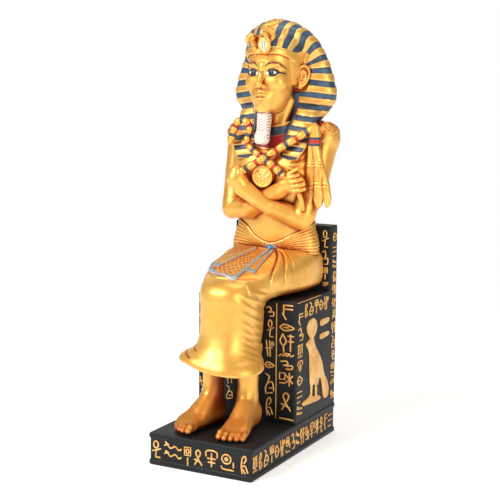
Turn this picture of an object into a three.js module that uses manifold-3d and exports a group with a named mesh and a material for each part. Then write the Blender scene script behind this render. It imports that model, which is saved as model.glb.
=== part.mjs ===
// Seated pharaoh figurine on a block throne with its plinth.
// Millimetres, +Z up, the figure looks along -Y, +X is the figure's own left.
// The origin is the centre of the plinth's underside.
import * as THREE from 'three';
import { mergeVertices } from 'three/addons/utils/BufferGeometryUtils.js';
import Module from 'manifold-3d';

const wasm = await Module();
wasm.setup();

// ---- driving dimensions -------------------------------------------------
const PLINTH_WIDTH = 70;
const PLINTH_DEPTH = 118;
const PLINTH_HEIGHT = 19.4;
const PLINTH_RIM = 0.6; // how far the soft top and bottom rims stand out of the faces
const PLINTH_RIM_HEIGHT = 2.6;
const EDGE_ROUND = 1.6; // soft vertical edges of the block
const THRONE_WIDTH = 69;
const SEAT_FRONT = -1.3;
const SEAT_TOP = 95.6;
const PANEL_FRONT = 47;
const PANEL_TOP = 137.3;
const GAP = 0.3; // joint line between the figure and the block

const LEG_SPACING = 12; // ankle centre from the middle plane
const HEM_Z = 57.4;
const HEM_RISE = 0.14;
const HEM_TWIST = 0.05;
const ANKLE_Y = -20.5;
const ANKLE_RADIUS = 6;
const FOOT_LENGTH = 44;
const TOE_CENTRE_X = 17;
const TOE_Y = -56.5;
const HEEL_Y = TOE_Y + FOOT_LENGTH;

const SHOULDER = { x: 29, y: 45, z: 190.6, r: 10 };
const ELBOW_LEFT = { x: 26.2, y: 24, z: 146, r: 7.3 };
const ELBOW_RIGHT = { x: -25.6, y: 26.4, z: 148.4, r: 7.2 };
const FOREARM_LEFT = { x: 6, y: 17, z: 151, r: 6.7 };
const FOREARM_RIGHT = { x: -11, y: 22.6, z: 148.6, r: 6.4 };
const WRIST_LEFT = { x: -12, y: 13.8, z: 163.4, r: 5.8 };
const WRIST_RIGHT = { x: 11.6, y: 19.4, z: 161.4, r: 5.2 };
const HAND_LEFT = { x: -12.6, y: 13.8, z: 170.6 };
const HAND_RIGHT = { x: 20.4, y: 18.2, z: 166.4 };
const HAND_SIZE = { width: 6, depth: 6, height: 8.8 };

const HEAD_TOP = 266.6;
const WING_HALF_WIDTH = 35;
const WING_Z = 220;
const LAPPET_BOTTOM = 179.5;
const BEARD = { top: 212, bottom: 189.6, y: 20.4, halfWidth: 4.9, halfDepth: 3.6 };
const MEDALLION = { z: 169.6, front: 17.9, radius: 7.4, thickness: 8 };
const SCEPTRE_RADIUS = 2.4;

// ---- solids -------------------------------------------------------------
function solidFrom(geometry) {
  const bare = geometry.clone();
  for (const name of Object.keys(bare.attributes)) {
    if (name !== 'position') bare.deleteAttribute(name);
  }
  const merged = mergeVertices(bare, 1e-4);
  const index = [];
  for (let i = 0; i < merged.index.count; i += 3) {
    const [a, b, c] = [0, 1, 2].map((k) => merged.index.getX(i + k));
    if (a !== b && b !== c && c !== a) index.push(a, b, c);
  }
  const mesh = new wasm.Mesh({
    numProp: 3,
    vertProperties: new Float32Array(merged.attributes.position.array),
    triVerts: new Uint32Array(index),
  });
  return new wasm.Manifold(mesh);
}

function geometryFrom(solid) {
  const mesh = solid.getMesh();
  const geometry = new THREE.BufferGeometry();
  geometry.setAttribute('position', new THREE.BufferAttribute(new Float32Array(mesh.vertProperties), 3));
  geometry.setIndex(new THREE.BufferAttribute(new Uint32Array(mesh.triVerts), 1));
  return geometry;
}

const join = (solids) => solids.reduce((all, one) => all.add(one));

// A body lofted through superellipse sections. Each section is
// [place along the axis, centre 1, centre 2, half size 1, half size 2, power].
// Along z the centres and sizes are x and y, along y they are x and z.
function loft(axis, sections, radial = 20, perSpan = 1, reshape = null) {
  const centres = new THREE.CatmullRomCurve3(
    sections.map((s) => new THREE.Vector3(s[1], s[2], s[0])), false, 'catmullrom', 0.5);
  const sizes = new THREE.CatmullRomCurve3(
    sections.map((s) => new THREE.Vector3(s[3], s[4], s[5] ?? 2)), false, 'catmullrom', 0.5);
  const rows = (sections.length - 1) * perSpan;
  const geometry = new THREE.CylinderGeometry(1, 1, 1, radial, rows);
  const p = geometry.attributes.position;
  for (let i = 0; i < p.count; i++) {
    const u = THREE.MathUtils.clamp(p.getY(i) + 0.5, 0, 1);
    const centre = centres.getPoint(u);
    const size = sizes.getPoint(u);
    const x = p.getX(i);
    const y = axis === 'z' ? -p.getZ(i) : p.getZ(i);
    const radius = Math.hypot(x, y);
    let dx = 0;
    let dy = 0;
    if (radius > 1e-6) {
      const c = x / radius;
      const s = y / radius;
      const e = 2 / size.z;
      dx = size.x * Math.sign(c) * Math.abs(c) ** e;
      dy = size.y * Math.sign(s) * Math.abs(s) ** e;
    }
    const point = axis === 'z'
      ? new THREE.Vector3(centre.x + dx, centre.y + dy, centre.z)
      : new THREE.Vector3(centre.x + dx, centre.z, centre.y + dy);
    if (reshape) reshape(point);
    p.setXYZ(i, point.x, point.y, point.z);
  }
  return solidFrom(geometry);
}

// A limb: a round bar with ball ends whose radius changes along its length.
function limb(from, to, radial = 12) {
  const a = new THREE.Vector3(from.x, from.y, from.z);
  const b = new THREE.Vector3(to.x, to.y, to.z);
  const length = a.distanceTo(b);
  const profile = [];
  for (let i = 0; i <= 3; i++) {
    const t = (i / 3) * (Math.PI / 2);
    profile.push(new THREE.Vector2(from.r * Math.sin(t), -from.r * Math.cos(t)));
  }
  for (let i = 0; i <= 3; i++) {
    const t = (i / 3) * (Math.PI / 2);
    profile.push(new THREE.Vector2(to.r * Math.cos(t), length + to.r * Math.sin(t)));
  }
  profile[0].x = 0;
  profile[profile.length - 1].x = 0;
  const geometry = new THREE.LatheGeometry(profile, radial);
  const turn = new THREE.Quaternion().setFromUnitVectors(
    new THREE.Vector3(0, 1, 0), b.clone().sub(a).normalize());
  geometry.applyQuaternion(turn);
  geometry.translate(a.x, a.y, a.z);
  return solidFrom(geometry);
}

function ball(x, y, z, rx, ry, rz, turn = [0, 0, 0]) {
  const geometry = new THREE.SphereGeometry(1, 14, 9);
  geometry.rotateX(Math.PI / 2);
  geometry.scale(rx, ry, rz);
  geometry.rotateX(turn[0]);
  geometry.rotateY(turn[1]);
  geometry.rotateZ(turn[2]);
  geometry.translate(x, y, z);
  return solidFrom(geometry);
}

function roundedOutline(width, depth, round) {
  const w = width / 2;
  const d = depth / 2;
  const shape = new THREE.Shape();
  shape.moveTo(-w + round, -d);
  shape.lineTo(w - round, -d);
  shape.absarc(w - round, -d + round, round, -Math.PI / 2, 0, false);
  shape.lineTo(w, d - round);
  shape.absarc(w - round, d - round, round, 0, Math.PI / 2, false);
  shape.lineTo(-w + round, d);
  shape.absarc(-w + round, d - round, round, Math.PI / 2, Math.PI, false);
  shape.lineTo(-w, -d + round);
  shape.absarc(-w + round, -d + round, round, Math.PI, Math.PI * 1.5, false);
  return shape;
}

function slab(width, y0, y1, z0, z1, round) {
  const geometry = new THREE.ExtrudeGeometry(roundedOutline(width, y1 - y0, round), {
    depth: z1 - z0, bevelEnabled: false, curveSegments: 3, steps: 1,
  });
  geometry.translate(0, (y0 + y1) / 2, z0);
  return solidFrom(geometry);
}

// ---- throne block with its plinth and back panel --------------------------
function throneBlock() {
  const half = PLINTH_DEPTH / 2;
  const inset = PLINTH_RIM;
  return join([
    slab(PLINTH_WIDTH, -half, half, 0, PLINTH_RIM_HEIGHT, EDGE_ROUND),
    slab(PLINTH_WIDTH - 2 * inset, -half + inset, half - inset,
      PLINTH_RIM_HEIGHT - 0.5, PLINTH_HEIGHT - PLINTH_RIM_HEIGHT + 0.5, EDGE_ROUND),
    slab(PLINTH_WIDTH, -half, half, PLINTH_HEIGHT - PLINTH_RIM_HEIGHT, PLINTH_HEIGHT, EDGE_ROUND),
    slab(THRONE_WIDTH, SEAT_FRONT, half - 0.2, PLINTH_HEIGHT - 1, SEAT_TOP, EDGE_ROUND),
    slab(THRONE_WIDTH, PANEL_FRONT, half - 0.2, SEAT_TOP - 4, PANEL_TOP, EDGE_ROUND),
  ]);
}

// ---- the figure -----------------------------------------------------------
function legAndFoot(side) {
  const x = side * LEG_SPACING;
  const toeX = side * TOE_CENTRE_X;
  const leg = limb(
    { x: x * 0.95, y: ANKLE_Y - 3, z: 100, r: 8.6 },
    { x, y: ANKLE_Y, z: 34, r: ANKLE_RADIUS });
  const at = (t) => THREE.MathUtils.lerp(x, toeX, t);
  const low = PLINTH_HEIGHT + GAP;
  const foot = loft('y', [
    [TOE_Y, toeX - side * 3, low + 2.4, 4.6, 2.4, 2.4],
    [TOE_Y + 3, toeX - side * 1.6, low + 3.1, 7, 3.4, 2.6],
    [TOE_Y + 9, toeX - side * 0.4, low + 3.7, 8.8, 4.2, 2.6],
    [TOE_Y + 19, at(0.66), low + 5.6, 7.8, 6.4, 2.4],
    [TOE_Y + 29, at(0.3), low + 8, 6.8, 9, 2.2],
    [HEEL_Y - 5, x, low + 7.5, 6.6, 9, 2.2],
    [HEEL_Y, x, low + 5, 4.2, 5, 2],
  ], 18);
  return leg.add(foot);
}

function kilt() {
  const lower = loft('z', [
    [HEM_Z, 0, -33, 27.2, 18, 2.2],
    [60.2, 0, -32.4, 26.8, 18.2, 2.2],
    [66, 0, -28.8, 23.6, 19.2, 2.2],
    [73, 0, -24.6, 20.4, 20, 2.2],
    [80, 0, -22.2, 18.6, 20.6, 2.3],
    [90, 0, -21.6, 17.8, 20.6, 2.3],
    [99, 0, -21.4, 17.8, 20.4, 2.3],
    [106, 0, -20.6, 15, 15.6, 2.2],
  ], 24, 1, (point) => {
    // the hem dips at the front and lifts towards the seat and the right knee
    const low = 1 - THREE.MathUtils.smoothstep(point.z, HEM_Z, 74);
    point.z += low * (HEM_RISE * (point.y + 51) - HEM_TWIST * point.x);
  });
  const low = SEAT_TOP + GAP;
  const lapSection = (y, top, half, power, drop = 0) =>
    [y, 0, (low - drop + top) / 2, half, (top - low + drop) / 2, power];
  const lap = loft('y', [
    [-43.4, 0, 98, 5, 2.4, 2],
    [-42, 0, 98.2, 9.6, 5, 2.1],
    [-38, 0, 98.8, 13.8, 8.4, 2.3],
    [-31, 0, 99.6, 16.8, 11, 2.4],
    lapSection(-22, 112.8, 19.2, 2.5, 3),
    lapSection(-4, 117.4, 24.2, 2.7),
    lapSection(14, 120.8, 28.6, 2.9),
    lapSection(30, 124.4, 31.4, 3),
    lapSection(46.4, 125, 31, 3),
  ], 24);
  return lower.add(lap);
}

function torso() {
  return loft('z', [
    [112, 0, 37, 29, 9.4, 2.4],
    [124, 0, 38, 29.6, 9.8, 2.3],
    [131, 0, 38.6, 28, 11.2, 2.2],
    [138, 0, 39.2, 25.6, 12.8, 2.2],
    [154, 0, 40, 27, 16.6, 2.2],
    [170, 0, 40, 29.6, 17.6, 2.2],
    [184, 0, 41, 31.6, 16.4, 2.3],
    [194, 0, 43, 30.4, 13.2, 2.2],
    [201, 0, 44, 20, 9.4, 2],
    [206, 0, 43, 11, 7, 2],
  ], 22);
}

function headAndCloth() {
  const head = loft('z', [
    [209.6, 0, 27, 6.4, 8.4, 2],
    [214, 0, 27, 9.6, 10.2, 2],
    [222, 0, 28.6, 12.4, 13.2, 2.1],
    [230, 0, 30.4, 14, 15, 2.1],
    [239, 0, 32, 14.8, 15.8, 2.1],
    [247, 0, 33.4, 15.4, 17.2, 2.1],
    [252, 0, 35.4, 14.6, 17, 2.1],
  ], 16);
  const cloth = loft('z', [
    [201, 0, 45.4, 24, 6, 2.6],
    [207, 0, 48, 28, 7.6, 2.7],
    [213, 0, 49.8, 32.2, 8.8, 2.8],
    [WING_Z, 0, 49.2, WING_HALF_WIDTH, 9.8, 2.8],
    [231, 0, 49.2, 32.8, 9.8, 2.6],
    [241, 0, 49.2, 29.4, 9.8, 2.4],
    [248, 0, 46.8, 26.6, 12, 2.2],
    [254, 0, 43.4, 23.8, 14.6, 2.1],
    [259, 0, 40.6, 19.6, 15.6, 2],
    [263.4, 0, 39.6, 12.8, 11.4, 2],
    [265.8, 0, 39.3, 7, 6.4, 2],
    [HEAD_TOP, 0, 39.2, 2, 2, 2],
  ], 24);
  const dome = loft('z', [
    [226, 0, 36.5, 15.4, 15.2, 2],
    [238, 0, 36.6, 17.2, 17.6, 2.1],
    [246, 0, 36.8, 17.3, 18.6, 2.1],
    [252, 0, 37.2, 16.8, 18.2, 2.1],
    [258, 0, 38.2, 14.6, 15.4, 2],
    [263, 0, 39.2, 9, 9.4, 2],
  ], 20);
  const neck = limb({ x: 0, y: 40, z: 196, r: 10.5 }, { x: 0, y: 36, z: 216, r: 9.6 });
  const parts = [head, cloth, dome, neck];
  for (const side of [-1, 1]) {
    parts.push(loft('z', [
      [LAPPET_BOTTOM, side * 15.8, 26.4, 6.8, 2.4, 3.4],
      [182, side * 16.2, 27, 7.6, 2.8, 3.4],
      [192, side * 18, 31, 9, 4.4, 3.2],
      [203, side * 18.4, 38, 8, 6, 2.6],
      [213, side * 18.6, 44.6, 7, 7, 2.2],
    ], 16));
    parts.push(ball(side * 15.4, 37.6, 231.5, 2.4, 4.4, 8, [0.12, 0, side * 0.3]));
  }
  // serpent and bird heads over the brow
  parts.push(loft('z', [
    [245.5, 3.2, 15, 2.6, 2.4, 2],
    [249, 3.2, 13, 4.2, 2.2, 2.2],
    [254, 3.2, 12.2, 3.6, 2.4, 2.2],
    [257, 3.2, 13.6, 2.2, 3.2, 2],
  ], 12));
  parts.push(limb({ x: -4.6, y: 21, z: 251.5, r: 3.4 }, { x: -5, y: 8.6, z: 254.6, r: 2.6 }, 10));
  parts.push(limb({ x: -5, y: 9, z: 254.2, r: 2.2 }, { x: -5, y: 5, z: 251.6, r: 0.9 }, 8));
  parts.push(limb({ x: -1, y: 16, z: 247, r: 3 }, { x: -1, y: 26, z: 257, r: 3 }, 8));
  parts.push(loft('z', [
    [BEARD.bottom, 0, BEARD.y - 0.6, 3.6, 2.8, 2.4],
    [BEARD.bottom + 2, 0, BEARD.y - 0.6, 5.4, 4, 2.6],
    [196, 0, BEARD.y, BEARD.halfWidth, BEARD.halfDepth, 2.6],
    [206, 0, BEARD.y, BEARD.halfWidth, BEARD.halfDepth, 2.6],
    [BEARD.top + 1, 0, BEARD.y + 0.6, BEARD.halfWidth + 0.4, BEARD.halfDepth + 0.8, 2.6],
  ], 14));
  // root of the beard down to the chest
  parts.push(limb({ x: 0, y: 26, z: 192, r: 3.4 }, { x: 0, y: 27, z: 210, r: 4.4 }, 8));
  return join(parts);
}

function arms() {
  const parts = [];
  for (const [side, elbow, forearm, wrist, hand] of [
    [1, ELBOW_LEFT, FOREARM_LEFT, WRIST_LEFT, HAND_LEFT],
    [-1, ELBOW_RIGHT, FOREARM_RIGHT, WRIST_RIGHT, HAND_RIGHT],
  ]) {
    parts.push(limb({ ...SHOULDER, x: side * SHOULDER.x }, elbow, 14));
    parts.push(limb(elbow, forearm));
    parts.push(limb(forearm, wrist));
    parts.push(ball(hand.x, hand.y, hand.z, HAND_SIZE.width, HAND_SIZE.depth, HAND_SIZE.height,
      [0.15, -side * 0.35, 0]));
  }
  return join(parts);
}

function bar(points, radius, sides = 8, steps = 12) {
  const curve = new THREE.CatmullRomCurve3(points.map((p) => new THREE.Vector3(...p)));
  const section = new THREE.Shape();
  for (let i = 0; i < sides; i++) {
    const t = (i / sides) * Math.PI * 2;
    const [x, y] = [radius * Math.cos(t), radius * Math.sin(t)];
    if (i === 0) section.moveTo(x, y);
    else section.lineTo(x, y);
  }
  section.closePath();
  return solidFrom(new THREE.ExtrudeGeometry(section, { extrudePath: curve, steps, bevelEnabled: false }));
}

function regalia() {
  const crook = bar([
    [20.5, 15.4, 164], [10.6, 15.4, 175], [-4.4, 17.2, 184.6], [-10.8, 18.8, 189.4],
    [-10.4, 20, 196.4], [-11.6, 20, 202], [-15.8, 20, 203.8], [-19.6, 20, 201.6],
    [-22.2, 20.2, 195.8], [-24.4, 20.8, 190.6],
  ], SCEPTRE_RADIUS, 8, 26);
  const flail = limb({ x: -14.5, y: 12, z: 170.4, r: SCEPTRE_RADIUS }, { x: 30.5, y: 26.4, z: 200.4, r: SCEPTRE_RADIUS }, 8);
  const strands = loft('z', [
    [150.4, 34.4, 24.6, 7.6, 1.6, 3],
    [153, 34.3, 24.9, 9, 2.3, 3],
    [160, 34, 25.4, 8.8, 2.6, 3],
    [172, 33.2, 26.2, 7.2, 2.6, 3],
    [190, 32, 27.2, 4, 2.6, 3],
    [200, 31, 27.4, 3.2, 2.6, 2.6],
  ], 12);
  const disc = new THREE.CylinderGeometry(MEDALLION.radius, MEDALLION.radius, MEDALLION.thickness, 18);
  disc.translate(0, MEDALLION.front + MEDALLION.thickness / 2, MEDALLION.z);
  return join([crook, flail, strands, solidFrom(disc)]);
}

function apron() {
  const high = new THREE.Vector3(0.5, 31, 124.6);
  const low = new THREE.Vector3(-4.4, -25, 112.4);
  const length = high.distanceTo(low);
  const outline = new THREE.Shape();
  outline.moveTo(-9, 0);
  outline.lineTo(9.4, 0);
  outline.lineTo(3.2, length);
  outline.lineTo(-3.2, length);
  outline.closePath();
  const geometry = new THREE.ExtrudeGeometry(outline, { depth: 4, bevelEnabled: false });
  geometry.translate(0, 0, -3);
  geometry.rotateX(Math.atan2(high.z - low.z, high.y - low.y));
  geometry.rotateZ(-Math.atan2(high.x - low.x, high.y - low.y));
  geometry.translate(low.x, low.y, low.z);
  return solidFrom(geometry);
}

function figure() {
  let body = join([
    legAndFoot(-1), legAndFoot(1), kilt(), torso(), headAndCloth(), arms(), regalia(), apron(),
  ]);
  // the seat, the back panel and the plinth stay clear of the figure by the joint gap
  body = body.subtract(slab(PLINTH_WIDTH + 40, SEAT_FRONT - GAP, 80, -5, SEAT_TOP + GAP, 0.01));
  body = body.subtract(slab(PLINTH_WIDTH + 40, PANEL_FRONT - GAP, 80, -5, PANEL_TOP + GAP, 0.01));
  body = body.subtract(slab(PLINTH_WIDTH + 40, -80, 80, -5, PLINTH_HEIGHT + GAP, 0.01));
  return body;
}

// ---- scene graph ----------------------------------------------------------
const black = new THREE.MeshStandardMaterial({ color: 0x1e2226, roughness: 0.45, metalness: 0.1 });
const gold = new THREE.MeshStandardMaterial({ color: 0xe3a546, roughness: 0.38, metalness: 0.6 });

const throneMesh = new THREE.Mesh(geometryFrom(throneBlock()), black);
throneMesh.name = 'throne_with_plinth';

const figureMesh = new THREE.Mesh(geometryFrom(figure()), gold);
figureMesh.name = 'seated_pharaoh';

const group = new THREE.Group();
group.add(throneMesh, figureMesh);

export default group;
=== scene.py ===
import math
import time
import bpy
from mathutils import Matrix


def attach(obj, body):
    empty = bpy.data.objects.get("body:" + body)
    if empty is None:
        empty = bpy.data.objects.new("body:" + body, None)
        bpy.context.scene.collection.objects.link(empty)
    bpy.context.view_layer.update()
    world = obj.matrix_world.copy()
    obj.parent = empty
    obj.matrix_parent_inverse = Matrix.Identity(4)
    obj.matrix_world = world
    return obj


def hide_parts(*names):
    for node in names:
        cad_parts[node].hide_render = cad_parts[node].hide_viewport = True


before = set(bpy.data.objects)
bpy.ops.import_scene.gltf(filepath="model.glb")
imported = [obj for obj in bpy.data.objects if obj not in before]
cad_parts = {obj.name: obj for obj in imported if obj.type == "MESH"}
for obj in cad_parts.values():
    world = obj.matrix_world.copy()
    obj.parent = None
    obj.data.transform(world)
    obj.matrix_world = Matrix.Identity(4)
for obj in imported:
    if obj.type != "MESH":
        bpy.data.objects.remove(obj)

from concurrent.futures import ThreadPoolExecutor

import bmesh
import bpy
import numpy as np
from mathutils import Matrix, Vector

START = time.time()
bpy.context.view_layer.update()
F = np.float32
FAR = 7.0
POOL = ThreadPoolExecutor(4)

# The figure is sculpted as distance fields in millimetres and then meshed.
# +Z is up, the figure looks along -Y, +X is its own left.


# ---------------------------------------------------------------- small maths
def step(a, b, v):
    t = np.clip((v - a) / (b - a), 0, 1)
    return t * t * (3 - 2 * t)


def smin(a, b, k):
    if k <= 0:
        return np.minimum(a, b)
    h = np.maximum(k - np.abs(a - b), 0) / k
    return np.minimum(a, b) - h * h * (k * 0.25)


def smax(a, b, k):
    return -smin(-a, -b, k)


def unit(v):
    v = np.array(v, float)
    return v / np.linalg.norm(v)


def pchip(t, v, at):
    """Smooth curve through (t, v) that doesn't overshoot."""
    h = np.diff(t)
    s = np.diff(v) / h
    m = np.zeros(len(t))
    for i in range(1, len(t) - 1):
        if s[i - 1] * s[i] > 0:
            w1 = 2 * h[i] + h[i - 1]
            w2 = h[i] + 2 * h[i - 1]
            m[i] = (w1 + w2) / (w1 / s[i - 1] + w2 / s[i])
    m[0], m[-1] = s[0], s[-1]
    k = np.clip(np.searchsorted(t, at, side="right") - 1, 0, len(h) - 1)
    u = (at - t[k]) / h[k]
    u = np.clip(u, 0, 1)
    return ((1 + 2 * u) * (1 - u) ** 2 * v[k] + u * (1 - u) ** 2 * h[k] * m[k]
            + u * u * (3 - 2 * u) * v[k + 1] + u * u * (u - 1) * h[k] * m[k + 1])


def spline(points, steps):
    """Points along a Catmull-Rom curve; every column is carried along."""
    p = np.array(points, float)
    p = np.vstack([2 * p[0] - p[1], p, 2 * p[-1] - p[-2]])
    out = []
    for i in range(1, len(p) - 2):
        for j in range(steps):
            u = j / steps
            out.append(0.5 * (2 * p[i] + (p[i + 1] - p[i - 1]) * u
                              + (2 * p[i - 1] - 5 * p[i] + 4 * p[i + 1] - p[i + 2]) * u * u
                              + (3 * p[i] - p[i - 1] - 3 * p[i + 1] + p[i + 2]) * u ** 3))
    out.append(p[-2])
    return np.array(out)


# ---------------------------------------------------------------- shapes
class Cone:
    """A round bar with ball ends."""

    def __init__(self, a, b, ra, rb=None):
        rb = ra if rb is None else rb
        a, b = np.array(a, float), np.array(b, float)
        self.a, self.v = a.astype(F), (b - a).astype(F)
        self.inv = F(1 / max(float((b - a) @ (b - a)), 1e-9))
        self.ra, self.dr = F(ra), F(rb - ra)
        r = max(ra, rb)
        self.lo, self.hi = np.minimum(a, b) - r, np.maximum(a, b) + r

    def __call__(self, x, y, z):
        dx, dy, dz = x - self.a[0], y - self.a[1], z - self.a[2]
        t = np.clip((dx * self.v[0] + dy * self.v[1] + dz * self.v[2]) * self.inv, 0, 1)
        dx -= t * self.v[0]
        dy -= t * self.v[1]
        dz -= t * self.v[2]
        return np.sqrt(dx * dx + dy * dy + dz * dz) - (self.ra + self.dr * t)


class Ell:
    """An ellipsoid; axes are the unit vectors of its own directions."""

    def __init__(self, c, r, axes=None):
        self.c = np.array(c, F)
        self.r = np.array(r, F)
        self.axes = None if axes is None else np.array([unit(v) for v in axes], F)
        reach = max(r) if axes is not None else np.array(r, float)
        self.lo, self.hi = np.array(c, float) - reach, np.array(c, float) + reach

    def __call__(self, x, y, z):
        u, v, w = x - self.c[0], y - self.c[1], z - self.c[2]
        if self.axes is not None:
            a = self.axes
            u, v, w = (u * a[0][0] + v * a[0][1] + w * a[0][2],
                       u * a[1][0] + v * a[1][1] + w * a[1][2],
                       u * a[2][0] + v * a[2][1] + w * a[2][2])
        r = self.r
        u, v, w = u / r[0], v / r[1], w / r[2]
        k0 = np.sqrt(u * u + v * v + w * w)
        k1 = np.sqrt((u / r[0]) ** 2 + (v / r[1]) ** 2 + (w / r[2]) ** 2) + F(1e-5)
        return k0 * (k0 - 1) / k1


class Loft:
    """Superellipse sections [place, centre 1, centre 2, half 1, half 2, power] along z or y."""

    def __init__(self, axis, sections, rounding=1.0):
        s = np.array(sections, float)
        t = s[:, 0]
        self.z_axis = axis == "z"
        n = int((t[-1] - t[0]) / 0.3) + 2
        at = np.linspace(t[0], t[-1], n)
        cols = [pchip(t, s[:, k], at) for k in range(1, 6)]
        cols += [np.gradient(c, at) for c in cols[:4]]
        self.tab = np.array(cols).T.astype(F)
        self.t0, self.t1, self.inv, self.n = F(t[0]), F(t[-1]), F((n - 1) / (t[-1] - t[0])), n
        self.k = rounding
        c1, c2, h1, h2 = (s[:, k] for k in (1, 2, 3, 4))
        a0, a1, b0, b1 = (c1 - h1).min(), (c1 + h1).max(), (c2 - h2).min(), (c2 + h2).max()
        if self.z_axis:
            self.lo, self.hi = np.array([a0, b0, t[0]]), np.array([a1, b1, t[-1]])
        else:
            self.lo, self.hi = np.array([a0, t[0], b0]), np.array([a1, t[-1], b1])

    def __call__(self, x, y, z):
        t, a, b = (z, x, y) if self.z_axis else (y, x, z)
        f = np.clip((t - self.t0) * self.inv, 0, self.n - 1.001)
        i = f.astype(np.int32)
        f = (f - i)[:, None]
        row = self.tab[i]
        row = row + (self.tab[i + 1] - row) * f
        h1, h2, p = row[:, 2], row[:, 3], row[:, 4]
        u, v = (a - row[:, 0]) / h1, (b - row[:, 1]) / h2
        au, av = np.abs(u) + F(1e-3), np.abs(v) + F(1e-3)
        pu, pv = au ** (p - 1), av ** (p - 1)
        s = pu * au + pv * av
        rho = s ** (1 / p)
        gt = (np.sign(u) * pu * row[:, 5] + pu * au * row[:, 7]) / h1 \
            + (np.sign(v) * pv * row[:, 6] + pv * av * row[:, 8]) / h2
        # the slope of the skin counts close to it, and not past the ends
        gt = gt * np.clip((F(1.75) - rho) * 2, 0, 1) * ((t > self.t0) & (t < self.t1))
        g = np.sqrt((pu / h1) ** 2 + (pv / h2) ** 2 + gt * gt) * rho / s
        d = (rho - 1) / np.maximum(g, F(1e-4))
        end = np.maximum(self.t0 - t, t - self.t1)
        return smax(d, end, self.k)


class Shape:
    """Any function of position with a box."""

    def __init__(self, fn, lo, hi):
        self.fn, self.lo, self.hi = fn, np.array(lo, float), np.array(hi, float)

    def __call__(self, x, y, z):
        return self.fn(x, y, z)


class Group:
    """Smooth union of shapes; shapes far from the points are skipped."""

    def __init__(self, items, k=0.0):
        self.items = [(i, k) if not isinstance(i, tuple) else i for i in items]
        self.los = np.array([i.lo for i, _ in self.items])
        self.his = np.array([i.hi for i, _ in self.items])
        self.lo, self.hi = self.los.min(0), self.his.max(0)

    def __call__(self, x, y, z):
        lo = np.array([x.min(), y.min(), z.min()]) - FAR
        hi = np.array([x.max(), y.max(), z.max()]) + FAR
        near = np.nonzero(((self.los < hi) & (self.his > lo)).all(1))[0]
        d = None
        for i in near:
            shape, k = self.items[i]
            e = shape(x, y, z)
            d = e if d is None else smin(d, e, k)
        if d is None:
            return np.full(x.shape, F(FAR))
        return d


def tube(points, radius=None, steps=4):
    """Round bars along a smooth path; a fourth column is the radius."""
    p = spline(points, steps)
    r = p[:, 3] if p.shape[1] > 3 else np.full(len(p), float(radius))
    return [Cone(p[i, :3], p[i + 1, :3], r[i], r[i + 1]) for i in range(len(p) - 1)]


# ---------------------------------------------------------------- meshing
B = 8          # cells along a block
S = 4          # blocks along a job


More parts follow.
